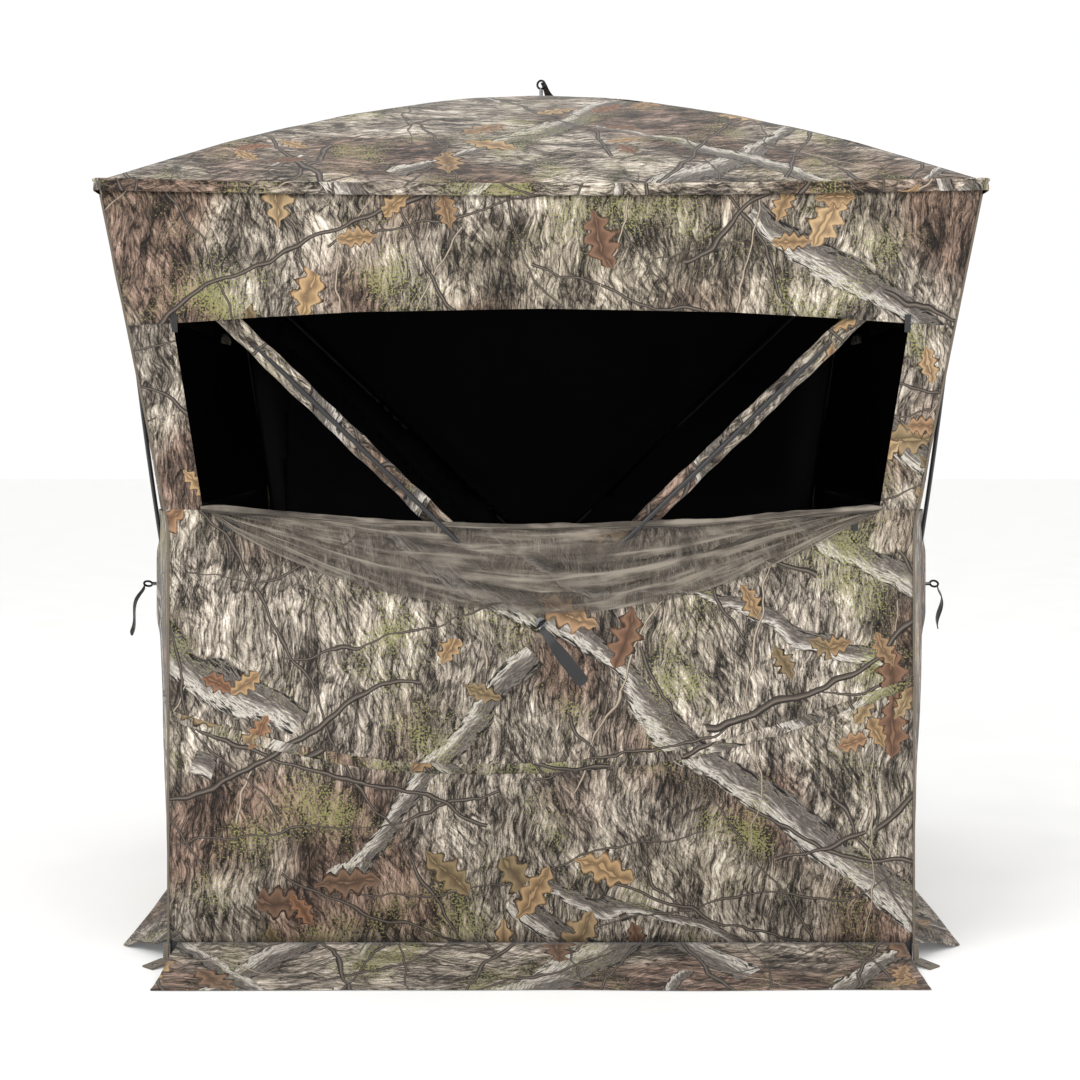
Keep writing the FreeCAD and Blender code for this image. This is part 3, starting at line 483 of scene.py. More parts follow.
# ---------------------------------------------------------------------------------------------------------
# Finishes
# ---------------------------------------------------------------------------------------------------------
@dataclass(frozen=True)
class WoodlandPrint:
    """Polyester oxford cloth, 300 denier, with a heat-transfer print of bark, limbs, twigs, leaves and moss.

    The print is measured on the cloth in metres, with the grain of the bark running up the cloth.
    """

    bark = (
        *((0.14, "14110e"), (0.30, "37302a"), (0.42, "5a5248"), (0.53, "7c7267"), (0.63, "9c9182")),
        *((0.75, "c0b4a4"), (0.90, "e8e0d3")),
    )
    limb = (
        *((0.0, "1c1815"), (0.10, "6f6962"), (0.22, "c8c1b5"), (0.34, "8d867e"), (0.5, "665f58")),
        *((0.68, "403a36"), (0.82, "776f66"), (0.92, "2a2522"), (1.0, "0f0d0b")),
    )
    twig = ((0.0, "15110f"), (0.35, "4a423b"), (0.55, "6b6157"), (0.75, "2c2622"), (1.0, "0d0b0a"))
    wood = ((0.0, "1f1a17"), (0.15, "7d6f60"), (0.4, "b3a38e"), (0.7, "6e6154"), (1.0, "1a1613"))
    leaf = (
        *((0.0, "8d7659"), (0.25, "b0966f"), (0.45, "6f584a")),
        *((0.62, "8a654b"), (0.8, "b8a27e"), (1.0, "7a6d52")),
    )
    leaf_shade = (
        *((0.0, "f4ead8"), (0.07, "9a9088"), (0.3, "c8bdb0")),
        *((0.7, "fff4e4"), (0.88, "a09488"), (1.0, "4a4038")),
    )

    def limbs(
        self, add: Add, at: Socket, turn: float, spacing: float, half: float, seed: float, keep: float
    ) -> tuple[Socket, Socket]:
        """Bent limbs that run across the cloth.

        Args:
            add: Adds a node.
            at: Place on the cloth.
            turn: Their lie in radians from straight up.
            spacing: Metres between two limbs' middles.
            half: Half a limb's thickness in metres.
            seed: Moves the pattern.
            keep: Noise level over which a stretch of limb is there, from 0 to 1.

        Returns:
            Whether a limb is there, and the way across it from 0 to 1.
        """
        place = add("Mapping", {"Vector": at, "Location": (seed, seed * 0.7, seed), "Rotation": (0, 0, turn)})
        sway = add("TexNoise", {"Vector": place, "Scale": 2.2, "Detail": 4.0, "Roughness": 0.5})
        split = add("SeparateXYZ", place)
        along = add("SeparateXYZ", place, out=1)
        bent = add("Math.MULTIPLY_ADD", sway, 0.24, split)
        turns = add("Math.MULTIPLY", bent, 1 / spacing)
        number = add("Math.ROUND", turns)
        off = add("Math.MULTIPLY", add("Math.SUBTRACT", turns, number), spacing)
        swell = add("TexNoise", {"Vector": place, "Scale": 0.9 / spacing, "Detail": 3.0, "Roughness": 0.6})
        width = add("Math.MULTIPLY_ADD", swell, half * 2.8, -half * 0.45)
        across = add("Math.DIVIDE", off, add("Math.MAXIMUM", width, half * 0.2))
        run = add("CombineXYZ", add("Math.MULTIPLY", number, 5.37), along, seed)
        there = add("TexNoise", {"Vector": run, "Scale": 1.7, "Detail": 1.0})
        gate = add("Math.GREATER_THAN", there, keep)
        edge = add("MapRange", {"Value": add("Math.ABSOLUTE", across), "From Min": 1.0, "From Max": 0.88})
        share = add("Math.MULTIPLY_ADD", across, 0.5, 0.5)
        return add("Math.MULTIPLY", gate, edge), share

    def leaves(
        self, add: Add, at: Socket, scale: float, size: float, seed: float, keep: float
    ) -> tuple[Socket, Socket, Socket]:
        """Lobed leaves in clusters, one to a cell, each turned its own way.

        Args:
            add: Adds a node.
            at: Place on the cloth.
            scale: Cells to a metre.
            size: Half a leaf's length in metres.
            seed: Moves the pattern.
            keep: How rare the clusters are, from 0 to 1.

        Returns:
            Whether a leaf is there, its own chance colour, and the way from its midrib to its edge.
        """
        moved = add("VectorMath.ADD", at, (seed, seed, 0.0))
        cell = {"Vector": moved, "Scale": scale, "Randomness": 0.9}
        chance = add("TexVoronoi", cell, out="Color", voronoi_dimensions="2D")
        middle = add("TexVoronoi", cell, out="Position", voronoi_dimensions="2D")
        lay = add("VectorMath.SUBTRACT", moved, middle)
        first = add("SeparateColor", chance, out=0)
        second = add("SeparateColor", chance, out=1)
        turned = add("VectorRotate", {"Vector": lay, "Angle": add("Math.MULTIPLY", first, 25.0)},
                     rotation_type="Z_AXIS")
        curl = add("TexNoise", {"Vector": moved, "Scale": 16.0, "Detail": 2.0})
        across = add("Math.MULTIPLY_ADD", curl, size * 0.5, add("SeparateXYZ", turned, out=0))
        across = add("Math.ABSOLUTE", add("Math.SUBTRACT", across, size * 0.25))
        along = add("Math.MULTIPLY", add("SeparateXYZ", turned, out=1), 1 / size)
        body = add("Math.SUBTRACT", 1.0, add("Math.MULTIPLY", along, along))
        lobes = add("Math.SINE", add("Math.MULTIPLY", along, 14.0))
        ragged = add("TexNoise", {"Vector": moved, "Scale": 70.0, "Detail": 3.0})
        reach = add("Math.MULTIPLY_ADD", lobes, 0.42, add("Math.ADD", ragged, 0.75))
        wide = add("Math.MULTIPLY", body, add("Math.MULTIPLY", reach, size * 0.34))
        ratio = add("Math.DIVIDE", across, add("Math.MAXIMUM", wide, 0.0001))
        cluster = add("TexNoise", {"Vector": middle, "Scale": 2.3, "Detail": 1.0})
        ready = add("Math.MULTIPLY_ADD", second, 0.16, cluster)
        gate = add("Math.GREATER_THAN", ready, keep)
        return add("Math.MULTIPLY", add("Math.LESS_THAN", ratio, 1.0), gate), first, ratio

    def grain(self, add: Add, at: Socket, turn: float, fine: float) -> Socket:
        """Streaky bark: a height from 0 to 1 that runs along a grain.

        Args:
            add: Adds a node.
            at: Place on the cloth.
            turn: The grain's lie in radians from straight up.
            fine: Streaks to a metre across the grain.

        Returns:
            The height.
        """
        turned = add("VectorRotate", {"Vector": at, "Angle": turn}, rotation_type="Z_AXIS")
        lie = add("Mapping", {"Vector": turned, "Scale": (fine, fine * 0.16, 1.0)})
        fibre = {"Vector": lie, "Scale": 1.0, "Detail": 6.0, "Roughness": 0.68, "Distortion": 0.5}
        return add("TexNoise", fibre)

    def ground(self, add: Add, at: Socket, bent: Socket) -> tuple[Socket, Socket]:
        """Paints the bark that everything lies on.

        Args:
            add: Adds a node.
            at: Place on the cloth.
            bent: The same place, bent a little.

        Returns:
            The colour and the height of the bark's broad plates.
        """
        colour = partial(add, "Mix", out=2, data_type="RGBA")
        # Streaks of 5 and 10 mm in two lies, each in its own zones about 250 mm wide, cracked into plates
        # of 16 by 60 mm with grains of 4 mm.
        zone = add("TexNoise", {"Vector": at, "Scale": 4.0, "Detail": 2.0})
        side = add("MapRange", {"Value": zone, "From Min": 0.47, "From Max": 0.53})
        upright, leaning = self.grain(add, bent, 0.06, 190.0), self.grain(add, bent, -0.55, 130.0)
        streak = add("Mix", {0: side, 2: upright, 3: leaning}, data_type="FLOAT")
        plate = self.grain(add, bent, 0.12, 36.0)
        blotch = add("TexNoise", {"Vector": bent, "Scale": 9.0, "Detail": 5.0, "Roughness": 0.6})
        value = add("Math.MULTIPLY_ADD", streak, 0.75, add("Math.MULTIPLY", plate, 0.65))
        value = add("Math.MULTIPLY_ADD", blotch, 0.55, value)
        value = add("Math.MULTIPLY_ADD", add("Math.SUBTRACT", value, 0.975), 1.7, 0.52)
        cells = {"Vector": add("Mapping", {"Vector": bent, "Scale": (62.0, 17.0, 1.0)}), "Scale": 1.0}
        crack = add("TexVoronoi", cells, feature="DISTANCE_TO_EDGE", voronoi_dimensions="2D")
        crack = add("MapRange", {"Value": crack, "From Max": 0.10, "To Min": -0.15, "To Max": 0.01})
        # Fissures 3 mm wide and 100 to 200 mm long.
        rift = add("Math.SUBTRACT", self.grain(add, bent, 0.1, 55.0), 0.5)
        rift = add("MapRange", {"Value": add("Math.ABSOLUTE", rift), "From Max": 0.03, "To Min": -0.26,
                                "To Max": 0.02})
        crack = add("Math.ADD", crack, rift)
        fine = add("TexNoise", {"Vector": at, "Scale": 260.0, "Detail": 4.0, "Roughness": 0.7})
        crack = add("Math.MULTIPLY_ADD", add("Math.SUBTRACT", fine, 0.5), 0.42, crack)
        base = add("ValToRGB", add("Math.ADD", value, crack), stops=self.bark)
        # Reddish zones and greenish ones, each about 400 mm wide.
        tint = add("TexNoise", {"Vector": at, "Scale": 2.4, "Detail": 1.0}, out=1)
        red = {"Value": add("SeparateColor", tint, out=0), "From Min": 0.50, "From Max": 0.60, "To Max": 0.75}
        base = colour({0: add("MapRange", red), 6: base, 7: linear("b08a7c")}, blend_type="MULTIPLY")
        lush = add("SeparateColor", tint, out=1)
        green = {"Value": lush, "From Min": 0.52, "From Max": 0.66, "To Max": 0.35}
        base = colour({0: add("MapRange", green), 6: base, 7: linear("aaa583")}, blend_type="MULTIPLY")
        return base, plate

    def paint(self, add: Add, at: Socket) -> Socket:
        """Paints the whole print.

        Args:
            add: Adds a node.
            at: Place on the cloth.

        Returns:
            The colour.
        """
        colour = partial(add, "Mix", out=2, data_type="RGBA")
        drift = add("TexNoise", {"Vector": at, "Scale": 7.0, "Detail": 3.0}, out=1)
        bent = add("VectorMath.MULTIPLY_ADD", drift, (0.06, 0.06, 0.0), at)
        base, plate = self.ground(add, at, bent)
        # Fallen limbs about 30 to 60 mm thick with pale edges and a streaked grain.
        # Each has its lie, spacing, half thickness, seed, level and the strength of its grain.
        for *shape, rough in (
            (-0.92, 0.47, 0.032, 3.1, 0.44, 1.7),
            (0.80, 0.74, 0.026, 7.7, 0.5, 1.7),
            (-1.25, 0.61, 0.017, 11.3, 0.49, 1.4),
        ):
            there, share = self.limbs(add, at, *shape)
            grain = add("Math.SUBTRACT", self.grain(add, bent, shape[0], 210.0), 0.5)
            spot = add("Math.MULTIPLY_ADD", grain, rough, share)
            base = colour({0: there, 6: base, 7: add("ValToRGB", spot, stops=self.limb)})
        # Moss: yellow-green specks of 2 to 4 mm, in patches of 100 to 200 mm.
        patch = add("TexNoise", {"Vector": at, "Scale": 5.5, "Detail": 3.0})
        speck = add("TexNoise", {"Vector": at, "Scale": 230.0, "Detail": 2.0})
        both = add("Math.MULTIPLY_ADD", patch, 0.9, add("Math.MULTIPLY", speck, 0.85))
        moss = add("MapRange", {"Value": both, "From Min": 1.0, "From Max": 1.05, "To Max": 0.75})
        base = colour({0: moss, 6: base, 7: linear("86854c")})
        # Twigs 4 to 12 mm thick, with the same values and their own colours.
        for *shape, stops in (
            (0.5, 0.19, 0.0022, 1.9, 0.55, self.wood),
            (-0.55, 0.19, 0.0030, 5.3, 0.48, self.twig),
            (1.35, 0.17, 0.0026, 9.1, 0.50, self.twig),
            (-1.2, 0.23, 0.0046, 13.7, 0.5, self.twig),
            (0.1, 0.27, 0.002, 17.9, 0.56, self.wood),
            (1.1, 0.31, 0.0060, 25.9, 0.51, self.twig),
        ):
            there, share = self.limbs(add, at, *shape)
            base = colour({0: there, 6: base, 7: add("ValToRGB", share, stops=stops)})
        # Leaves 80 to 130 mm long, in a few clusters, with a pale midrib and a dark rim.
        for scale, size, seed, keep in ((7.5, 0.064, 2.3, 0.70), (12.0, 0.040, 6.1, 0.725)):
            there, chance, ratio = self.leaves(add, at, scale, size, seed, keep)
            tone = add("ValToRGB", chance, stops=self.leaf)
            vein = add("Math.MULTIPLY_ADD", add("Math.SUBTRACT", plate, 0.5), 1.2, ratio)
            shade = add("ValToRGB", vein, stops=self.leaf_shade)
            tone = colour({0: 1.0, 6: tone, 7: shade}, blend_type="MULTIPLY")
            base = colour({0: there, 6: base, 7: tone})
        return base

    def make(self, name: str, gain: float = 1.0) -> bpy.types.Material:
        """The printed cloth.

        Args:
            name: The material's name.
            gain: Brightness of the print.

        Returns:
            The material.
        """
        recipe = Recipe(name)
        add = recipe.add
        at = add("UVMap", uv_map="print")
        base = add("HueSaturation", {"Color": self.paint(add, at), "Value": gain, "Saturation": 0.92})
        # Soft creases of 80 to 200 mm, and the plain weave: 0.5 mm a thread, drawn at 2 mm so that it shows.
        lie = add("Mapping", {"Vector": at, "Scale": (11.0, 5.0, 1.0)})
        crease = add("TexNoise", {"Vector": lie, "Scale": 1.0, "Detail": 3.0})
        threads = {"Vector": at, "Scale": 160.0, "Distortion": 0.6}
        weave = add("TexWave", threads, out=1, bands_direction="DIAGONAL")
        relief = add("Math.MULTIPLY_ADD", crease, 8.0, add("Math.MULTIPLY", weave, 0.05))
        normal = add("Bump", {"Height": relief, "Distance": 0.001, "Strength": 1.0})
        # Dyed polyester: matt, with a faint cloth sheen.
        cloth = {"Roughness": 0.78, "Sheen_Weight": 0.1, "Specular_IOR_Level": 0.25}
        return recipe.close(Base_Color=base, Normal=normal, **cloth)


def coated_back() -> bpy.types.Material:
    """The black polyurethane coating on the cloth's back: near black, a little silky, faintly creased."""
    recipe = Recipe("black_polyurethane_coating")
    add = recipe.add
    at = add("TexCoord", out="Object")
    mottle = add("TexNoise", {"Vector": at, "Scale": 9.0, "Detail": 4.0})
    base = add("ValToRGB", mottle, stops=((0.35, "020203"), (0.7, "070709")))
    normal = add("Bump", {"Height": mottle, "Distance": 0.004, "Strength": 0.5})
    return recipe.close(Base_Color=base, Roughness=0.62, Normal=normal, Specular_IOR_Level=0.2)


def window_netting(name: str, cover: float, dark: float) -> bpy.types.Material:
    """Printed polyester shoot-through netting: see-through threads with a dull brown print.

    Args:
        name: The material's name.
        cover: Share of the light that the threads stop.
        dark: Factor on the print's brightness; below one it is painted shade.

    Returns:
        The material.
    """
    recipe = Recipe(name)
    add = recipe.add
    at = add("UVMap", uv_map="print")
    # Netting threads lie about 1.5 mm apart; they are drawn 4 mm apart so that the grid shows.
    across = add("TexWave", {"Vector": at, "Scale": 78.0, "Distortion": 1.0}, out=1, bands_direction="X")
    along = add("TexWave", {"Vector": at, "Scale": 78.0, "Distortion": 1.0}, out=1, bands_direction="Y")
    thread = add("Math.MAXIMUM", across, along)
    mottle = add("TexNoise", {"Vector": at, "Scale": 16.0, "Detail": 5.0, "Roughness": 0.6})
    # Where the netting is gathered its folds lie double, 20 to 60 mm apart and nearly level.
    lie = add("Mapping", {"Vector": at, "Rotation": (0, 0, 0.22), "Scale": (5.0, 34.0, 1.0)})
    fold = add("TexNoise", {"Vector": lie, "Scale": 1.0, "Detail": 3.0, "Distortion": 0.8})
    share = add("Math.MULTIPLY_ADD", thread, 0.2, cover - 0.7)
    share = add("Math.MULTIPLY_ADD", fold, 1.2, share)
    both = add("Math.MULTIPLY_ADD", fold, 0.65, add("Math.MULTIPLY", mottle, 0.35))
    tone = add("ValToRGB", both, stops=((0.36, "36322d"), (0.5, "5f5850"), (0.62, "8f867a")))
    # Below one, dark paints shade into the netting's colour.
    tone = add("HueSaturation", {"Color": tone, "Value": dark})
    thread = {"Roughness": 0.85, "Sheen_Weight": 0.1, "Specular_IOR_Level": 0.2}
    return recipe.close(Base_Color=tone, Alpha=share, **thread)


def woven_tape(name: str, shade: tuple[str, str], rib_mm: float, gloss: float) -> bpy.types.Material:
    """Woven nylon tape or webbing: fine ribs across it.

    Args:
        name: The material's name.
        shade: Dark and light hex colours of the ribs.
        rib_mm: Rib spacing in millimetres.
        gloss: Roughness.

    Returns:
        The material.
    """
    recipe = Recipe(name)
    add = recipe.add
    at = add("TexCoord", out="Object")
    # A wave texture's bands lie 0.314 / scale apart, so the scale comes from the rib spacing.
    weft = {"Vector": at, "Scale": 314.0 / rib_mm, "Distortion": 0.4}
    ribs = add("TexWave", weft, out=1, bands_direction="DIAGONAL")
    fuzz = add("TexNoise", {"Vector": at, "Scale": 420.0, "Detail": 2.0})
    value = add("Math.MULTIPLY_ADD", ribs, 0.6, add("Math.MULTIPLY", fuzz, 0.4))
    base = add("ValToRGB", value, stops=((0.2, shade[0]), (0.8, shade[1])))
    normal = add("Bump", {"Height": value, "Distance": 0.0006, "Strength": 0.8})
    return recipe.close(Base_Color=base, Roughness=gloss, Normal=normal, Sheen_Weight=0.15)


def moulded_nylon() -> bpy.types.Material:
    """Injection-moulded black nylon: dull, with the fine pebble of a spark-eroded mould."""
    recipe = Recipe("moulded_black_nylon")
    add = recipe.add
    at = add("TexCoord", out="Object")
    pebble = add("TexNoise", {"Vector": at, "Scale": 1400.0, "Detail": 2.0})
    scuff = add("TexNoise", {"Vector": at, "Scale": 30.0, "Detail": 4.0})
    base = add("ValToRGB", scuff, stops=((0.35, "0d0d0e"), (0.7, "1e1e20")))
    normal = add("Bump", {"Height": pebble, "Distance": 0.0002, "Strength": 0.6})
    rough = add("MapRange", {"Value": scuff, "To Min": 0.42, "To Max": 0.6})
    return recipe.close(Base_Color=base, Roughness=rough, Normal=normal, IOR=1.53)


def blackened_steel() -> bpy.types.Material:
    """Black zinc-plated steel wire and washers: dark metal, with a painted highlight along its convex edges.
    """
    recipe = Recipe("black_zinc_plated_steel")
    add = recipe.add
    at = add("TexCoord", out="Object")
    roughness_and_highlight_noise = add("TexNoise", {"Vector": at, "Scale": 260.0, "Detail": 4.0})
    edge = add("NewGeometry", out="Pointiness")
    # Painted highlight: the colour turns pale grey where the surface is convex, broken up a little by noise.
    edge_highlight = add("MapRange", {"Value": add("Math.MULTIPLY_ADD", roughness_and_highlight_noise, 0.12, edge), "From Min": 0.58,
                            "From Max": 0.66})
    base = add("ValToRGB", edge_highlight, stops=((0.0, "2b2b2e"), (0.6, "4a4a4d"), (1.0, "9a9a9c")))
    rough = add("MapRange", {"Value": roughness_and_highlight_noise, "To Min": 0.22, "To Max": 0.42})
    return recipe.close(Base_Color=base, Metallic=1.0, Roughness=rough)


def glass_fibre() -> bpy.types.Material:
    """Pultruded glass-fibre rod with black resin: glossy, with fine fibres just under the surface."""
    recipe = Recipe("black_pultruded_glass_fibre")
    add = recipe.add
    at = add("TexCoord", out="Object")
    fibre = add("TexNoise", {"Vector": at, "Scale": 500.0, "Detail": 3.0, "Distortion": 2.0})
    base = add("ValToRGB", fibre, stops=((0.3, "0b0b0c"), (0.75, "26262a")))
    normal = add("Bump", {"Height": fibre, "Distance": 0.0002, "Strength": 0.4})
    return recipe.close(Base_Color=base, Roughness=0.42, Normal=normal, IOR=1.55)


def coil_zip() -> bpy.types.Material:
    """Black nylon coil zip on knitted tape: its teeth lie 1.5 mm apart and are drawn 3 mm apart."""
    recipe = Recipe("black_nylon_coil_zip")
    add = recipe.add
    at = add("TexCoord", out="Object")
    teeth = add("TexWave", {"Vector": at, "Scale": 105.0}, out=1, bands_direction="Z")
    base = add("ValToRGB", teeth, stops=((0.2, "08080a"), (0.8, "202024")))
    normal = add("Bump", {"Height": teeth, "Distance": 0.001, "Strength": 0.9})
    return recipe.close(Base_Color=base, Roughness=0.5, Normal=normal, IOR=1.53)


def studio_paper() -> bpy.types.Material:
    """Seamless white background paper, with the faintest mottle."""
    recipe = Recipe("white_seamless_paper")
    add = recipe.add
    at = add("TexCoord", out="Object")
    grain = add("TexNoise", {"Vector": at, "Scale": 3.0, "Detail": 3.0})
    base = add("ValToRGB", grain, stops=((0.3, "f1f1f0"), (0.7, "f6f6f5")))
    return recipe.close(Base_Color=base, Roughness=0.9, Emission_Color=base, Emission_Strength=0.14)


@dataclass
class Finishes:
    """Every material of the blind, made once."""

    def __post_init__(self) -> None:
        """Makes the materials."""
        self.print = WoodlandPrint().make("printed_polyester_oxford", 1.12)
        self.coating = coated_back()
        self.netting = window_netting("printed_polyester_netting", 0.62, 1.0)
        # The bunched hem's netting is 0.9 as bright: painted shade among its gathers.
        self.bunched = window_netting("bunched_polyester_netting", 0.95, 0.9)
        self.binding = woven_tape("brown_polyester_binding_tape", ("4b4238", "7a6f60"), 2.0, 0.8)
        self.webbing = woven_tape("black_polypropylene_webbing", ("08080a", "1c1c1f"), 2.2, 0.4)
        self.nylon = moulded_nylon()
        self.steel = blackened_steel()
        self.rod = glass_fibre()
        self.zip = coil_zip()


# ---------------------------------------------------------------------------------------------------------
# Cloth pieces
# ---------------------------------------------------------------------------------------------------------
def mirrored(half: Sequence[Point2]) -> tuple[Point2, ...]:
    """A line of flat points with its mirror image put before it; its first point is on the middle."""
    return (*((-u, z) for u, z in reversed(half[1:])), *half)


CLOTH_THICK = 0.0016  # the real cloth has 0.4 mm, drawn thicker so that its edges show
THIN_CLOTH = 0.001
JAMB_LOW, JAMB_HIGH = (0.665, 0.897), (0.712, 1.261)
SILL = mirrored(((0.0, 0.866), (0.33, 0.874), JAMB_LOW, (0.90, 0.903)))
HEAD = mirrored(((0.0, 1.289), (0.36, 1.282), JAMB_HIGH, (0.90, 1.254)))
DOOR = ((0.150, 0.610), (0.690, 0.140), (0.690, 1.315), (0.150, 0.785))
BACK_PRINT = (12.4, 0.9)  # where the back wall and its door were cut from the print


def in_window(u: float, z: float) -> bool:
    """Whether a flat point of a wall is in the window's opening."""
    slope = (JAMB_HIGH[0] - JAMB_LOW[0]) / (JAMB_HIGH[1] - JAMB_LOW[1])
    return height_on(SILL, u) < z < height_on(HEAD, u) and abs(u) < JAMB_LOW[0] + slope * (z - JAMB_LOW[1])


def off_window(u: float, z: float) -> bool:
    """Whether a flat point of a wall is outside the window's opening."""
    return not in_window(u, z)


def off_door(u: float, z: float) -> bool:
    """Whether a flat point of the back wall is outside the door."""
    return not inside(DOOR)(u, z)


def wall_cloth() -> FlatCloth:
    """A wall's cloth laid out flat and cut along its four ridges."""
    shares = np.linspace(-1, 1, 73)
    heights = np.linspace(SHELL.seam_z, SHELL.eave_z, 62)
    cloth = FlatCloth(shares, heights, SHELL.half_width)
    top, base = SHELL.top_half, SHELL.base_half
    high, low = SHELL.eave_z, SHELL.seam_z
    for corner in ((top, high), (-top, high), (-base, low), (base, low)):
        cloth.seam((0.0, SHELL.hub_z), corner)
    return cloth


def window_cloth() -> FlatCloth:
    """A wall's cloth laid out flat and cut around its window too."""
    cloth = wall_cloth()
    cloth.line(SILL)
    cloth.line(HEAD)
    for sign in (-1, 1):
        cloth.seam((sign * JAMB_LOW[0], JAMB_LOW[1]), (sign * JAMB_HIGH[0], JAMB_HIGH[1]), 0.01)
    return cloth


@dataclass
class Sewing:
    """Lines, logs and hangs each piece of cloth."""

    finishes: Finishes

    def declare(
        self, obj: bpy.types.Object, held: str, rests_on: Sequence[str], area: float, slot: str = "camo_cloth"
    ) -> None:
        """Logs a piece's name, the flat area of its cut and how it is held.

        Args:
            obj: The finished piece.
            held: How the cloth is held.
            rests_on: Names of what carries it; not used.
            area: The flat area of the cut.
            slot: The name under which its material can be changed; not used.
        """
        LOG.info("%s: %.3f m2 of cloth, %s", obj.name, area, held)

    def finish(
        self,
        obj: bpy.types.Object,
        nodes: Sequence[str],
        held: str,
        rests_on: Sequence[str],
        area: float | None = None,
        thick: float = CLOTH_THICK,
        outer: bpy.types.Material | None = None,
    ) -> None:
        """Args:
            obj: The cloth's outer face.
            nodes: The CAD nodes that it stands for.
            held: How the cloth is held.
            rests_on: Names of what carries it.
            area: The flat area of the cut, the outer face's own unless given.
            thick: Thickness in metres.
            outer: Material of the outer face, the print unless given.
        """
        area = area or surface(obj)
        dress(obj, outer or self.finishes.print, self.finishes.coating)
        inwards = {"offset": -1.0, "material_offset": 1, "use_even_offset": False}
        apply_modifier(obj, "SOLIDIFY", thickness=thick, **inwards)
        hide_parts(*nodes)
        self.declare(obj, held, rests_on, area)

    def follow(self, obj: bpy.types.Object, side: Side, part: Field) -> None:
        """Bakes a piece's placement into its mesh."""
        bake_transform(obj)

    def split(
        self, name: str, flats: Sequence[Point2], points: Sequence, faces: Sequence, spots: Sequence[Point2]
    ) -> list[tuple[bpy.types.Object, Field]]:
        """Splits a surface on the front wall by the fields that its faces lie in.

        Args:
            name: The piece's name.
            flats: Each corner's flat place on the wall.
            points: Each corner in space.
            faces: Corner numbers of each face.
            spots: Each corner's place on the print.

        Returns:
            A piece for each field, with its field.
        """
        shares = []
        for part in Field:
            mine = []
            for face in faces:
                middle = np.mean([flats[n] for n in face], axis=0)
                if SHELL.field_at(*middle) is part:
                    mine.append(face)
            if not mine:
                continue
            used = sorted({n for face in mine for n in face})
            number = {old: new for new, old in enumerate(used)}
            rings = [[number[n] for n in face] for face in mine]
            places, marks = [points[n] for n in used], [spots[n] for n in used]
            shares.append((make_piece(f"{name}_{part.value}", places, rings, marks), part))
        return shares

    def panel(
        self,
        cloth: FlatCloth,
        name: str,
        side: Side,
        keep: Keep,
        print_at: Point2,
        nodes: Sequence[str],
        lift: float = 0.0,
        thick: float = CLOTH_THICK,
        outer: bpy.types.Material | None = None,
    ) -> None:
        """Cuts a panel, one piece to each field that it reaches.

        Args:
            cloth: The flat cloth.
            name: The panel's name.
            side: Its wall.
            keep: Which flat points belong to the panel.
            print_at: Where the panel was cut from the print.
            nodes: The CAD nodes that it stands for.
            lift: Metres outwards from the wall's form.
            thick: Thickness in metres.
            outer: Material of the outer face, the print unless given.
        """
        carriers = [f"{side.word}_hub_housing", "top_corner_sockets"]
        for part in Field:
            cut = cloth.pick(lambda u, z: SHELL.field_at(u, z) is part and keep(u, z))
            if not cut.faces:
                continue
            points = [side.turn() @ SHELL.on_wall(u, z, lift) for u, z in cut.corners]
            spots = [(u + print_at[0], z + print_at[1]) for u, z in cut.corners]
            obj = make_piece(f"{name}_{part.value}", points, cut.faces, spots)
            self.finish(obj, nodes, "stretched", carriers, cut.area(), thick, outer)
            self.follow(obj, side, part)


@dataclass
class FrontWall:
    """The wall with the wide window: header, jambs, and lower cloth with its seam tape."""

    sewing: Sewing
    tape_half: float = 0.010

    def tape_height(self, u: float) -> float:
        """Height of the middle of the seam tape that crosses the lower cloth."""
        return 0.398 + 0.23 * (u + 0.1) ** 2

    def taped(self, u: float, z: float) -> bool:
        """Whether a flat point lies under the seam tape."""
        return abs(z - self.tape_height(u)) < self.tape_half * 1.15

    def above(self, u: float, z: float) -> bool:
        """Whether a flat point belongs to the header."""
        return z > height_on(HEAD, u)

    def below(self, u: float, z: float) -> bool:
        """Whether a flat point belongs to the lower cloth."""
        return z < height_on(SILL, u)

    def beside(self, sign: int, u: float, z: float) -> bool:
        """Whether a flat point belongs to the jamb on the side of that sign."""
        level = not self.above(u, z) and not self.below(u, z)
        return level and not in_window(u, z) and u * sign > 0

    def build(self) -> None:
        """Makes the wall."""
        cloth = window_cloth()
        reach = np.linspace(-0.74, 0.74, 13)
        for edge in (-self.tape_half, self.tape_half):
            cloth.line([(u, self.tape_height(u) + edge) for u in reach])
        sew = partial(self.sewing.panel, cloth, side=Side.FRONT)
        tape = {"lift": 0.0012, "thick": THIN_CLOTH}
        sew("front_header", keep=self.above, print_at=(3.11, 0.62), nodes=["front_header_panel"])
        sew("front_lower", keep=self.below, print_at=(0.0, 0.0), nodes=["front_lower_panel"])
        sew("front_seam_tape", keep=self.taped, print_at=(5.3, 1.7), nodes=["front_lower_panel"], **tape)
        for word, sign, print_at in (("right", 1, (1.37, 2.2)), ("left", -1, (-1.91, 3.1))):
            beside = partial(self.beside, sign)
            sew(f"front_jamb_{word}", keep=beside, print_at=print_at, nodes=[f"front_{word}_jamb"])


@dataclass
class SideWall:
    """A side wall: cloth with a closed window."""

    sewing: Sewing
    side: Side
    inside_rods: float = -0.028

    def build(self) -> None:
        """Makes the wall and the closure behind its window."""
        word = self.side.word
        away = 7.3 if self.side is Side.RIGHT else -6.1
        sew = partial(self.sewing.panel, window_cloth(), side=self.side)
        sew(f"{word}_wall", keep=off_window, print_at=(away, 0.4), nodes=[f"{word}_wall_panel"])
        within = {"nodes": ["side_window_closures"], "lift": self.inside_rods}
        sew(f"{word}_window_closure", keep=in_window, print_at=(away + 2.2, 1.5), **within)


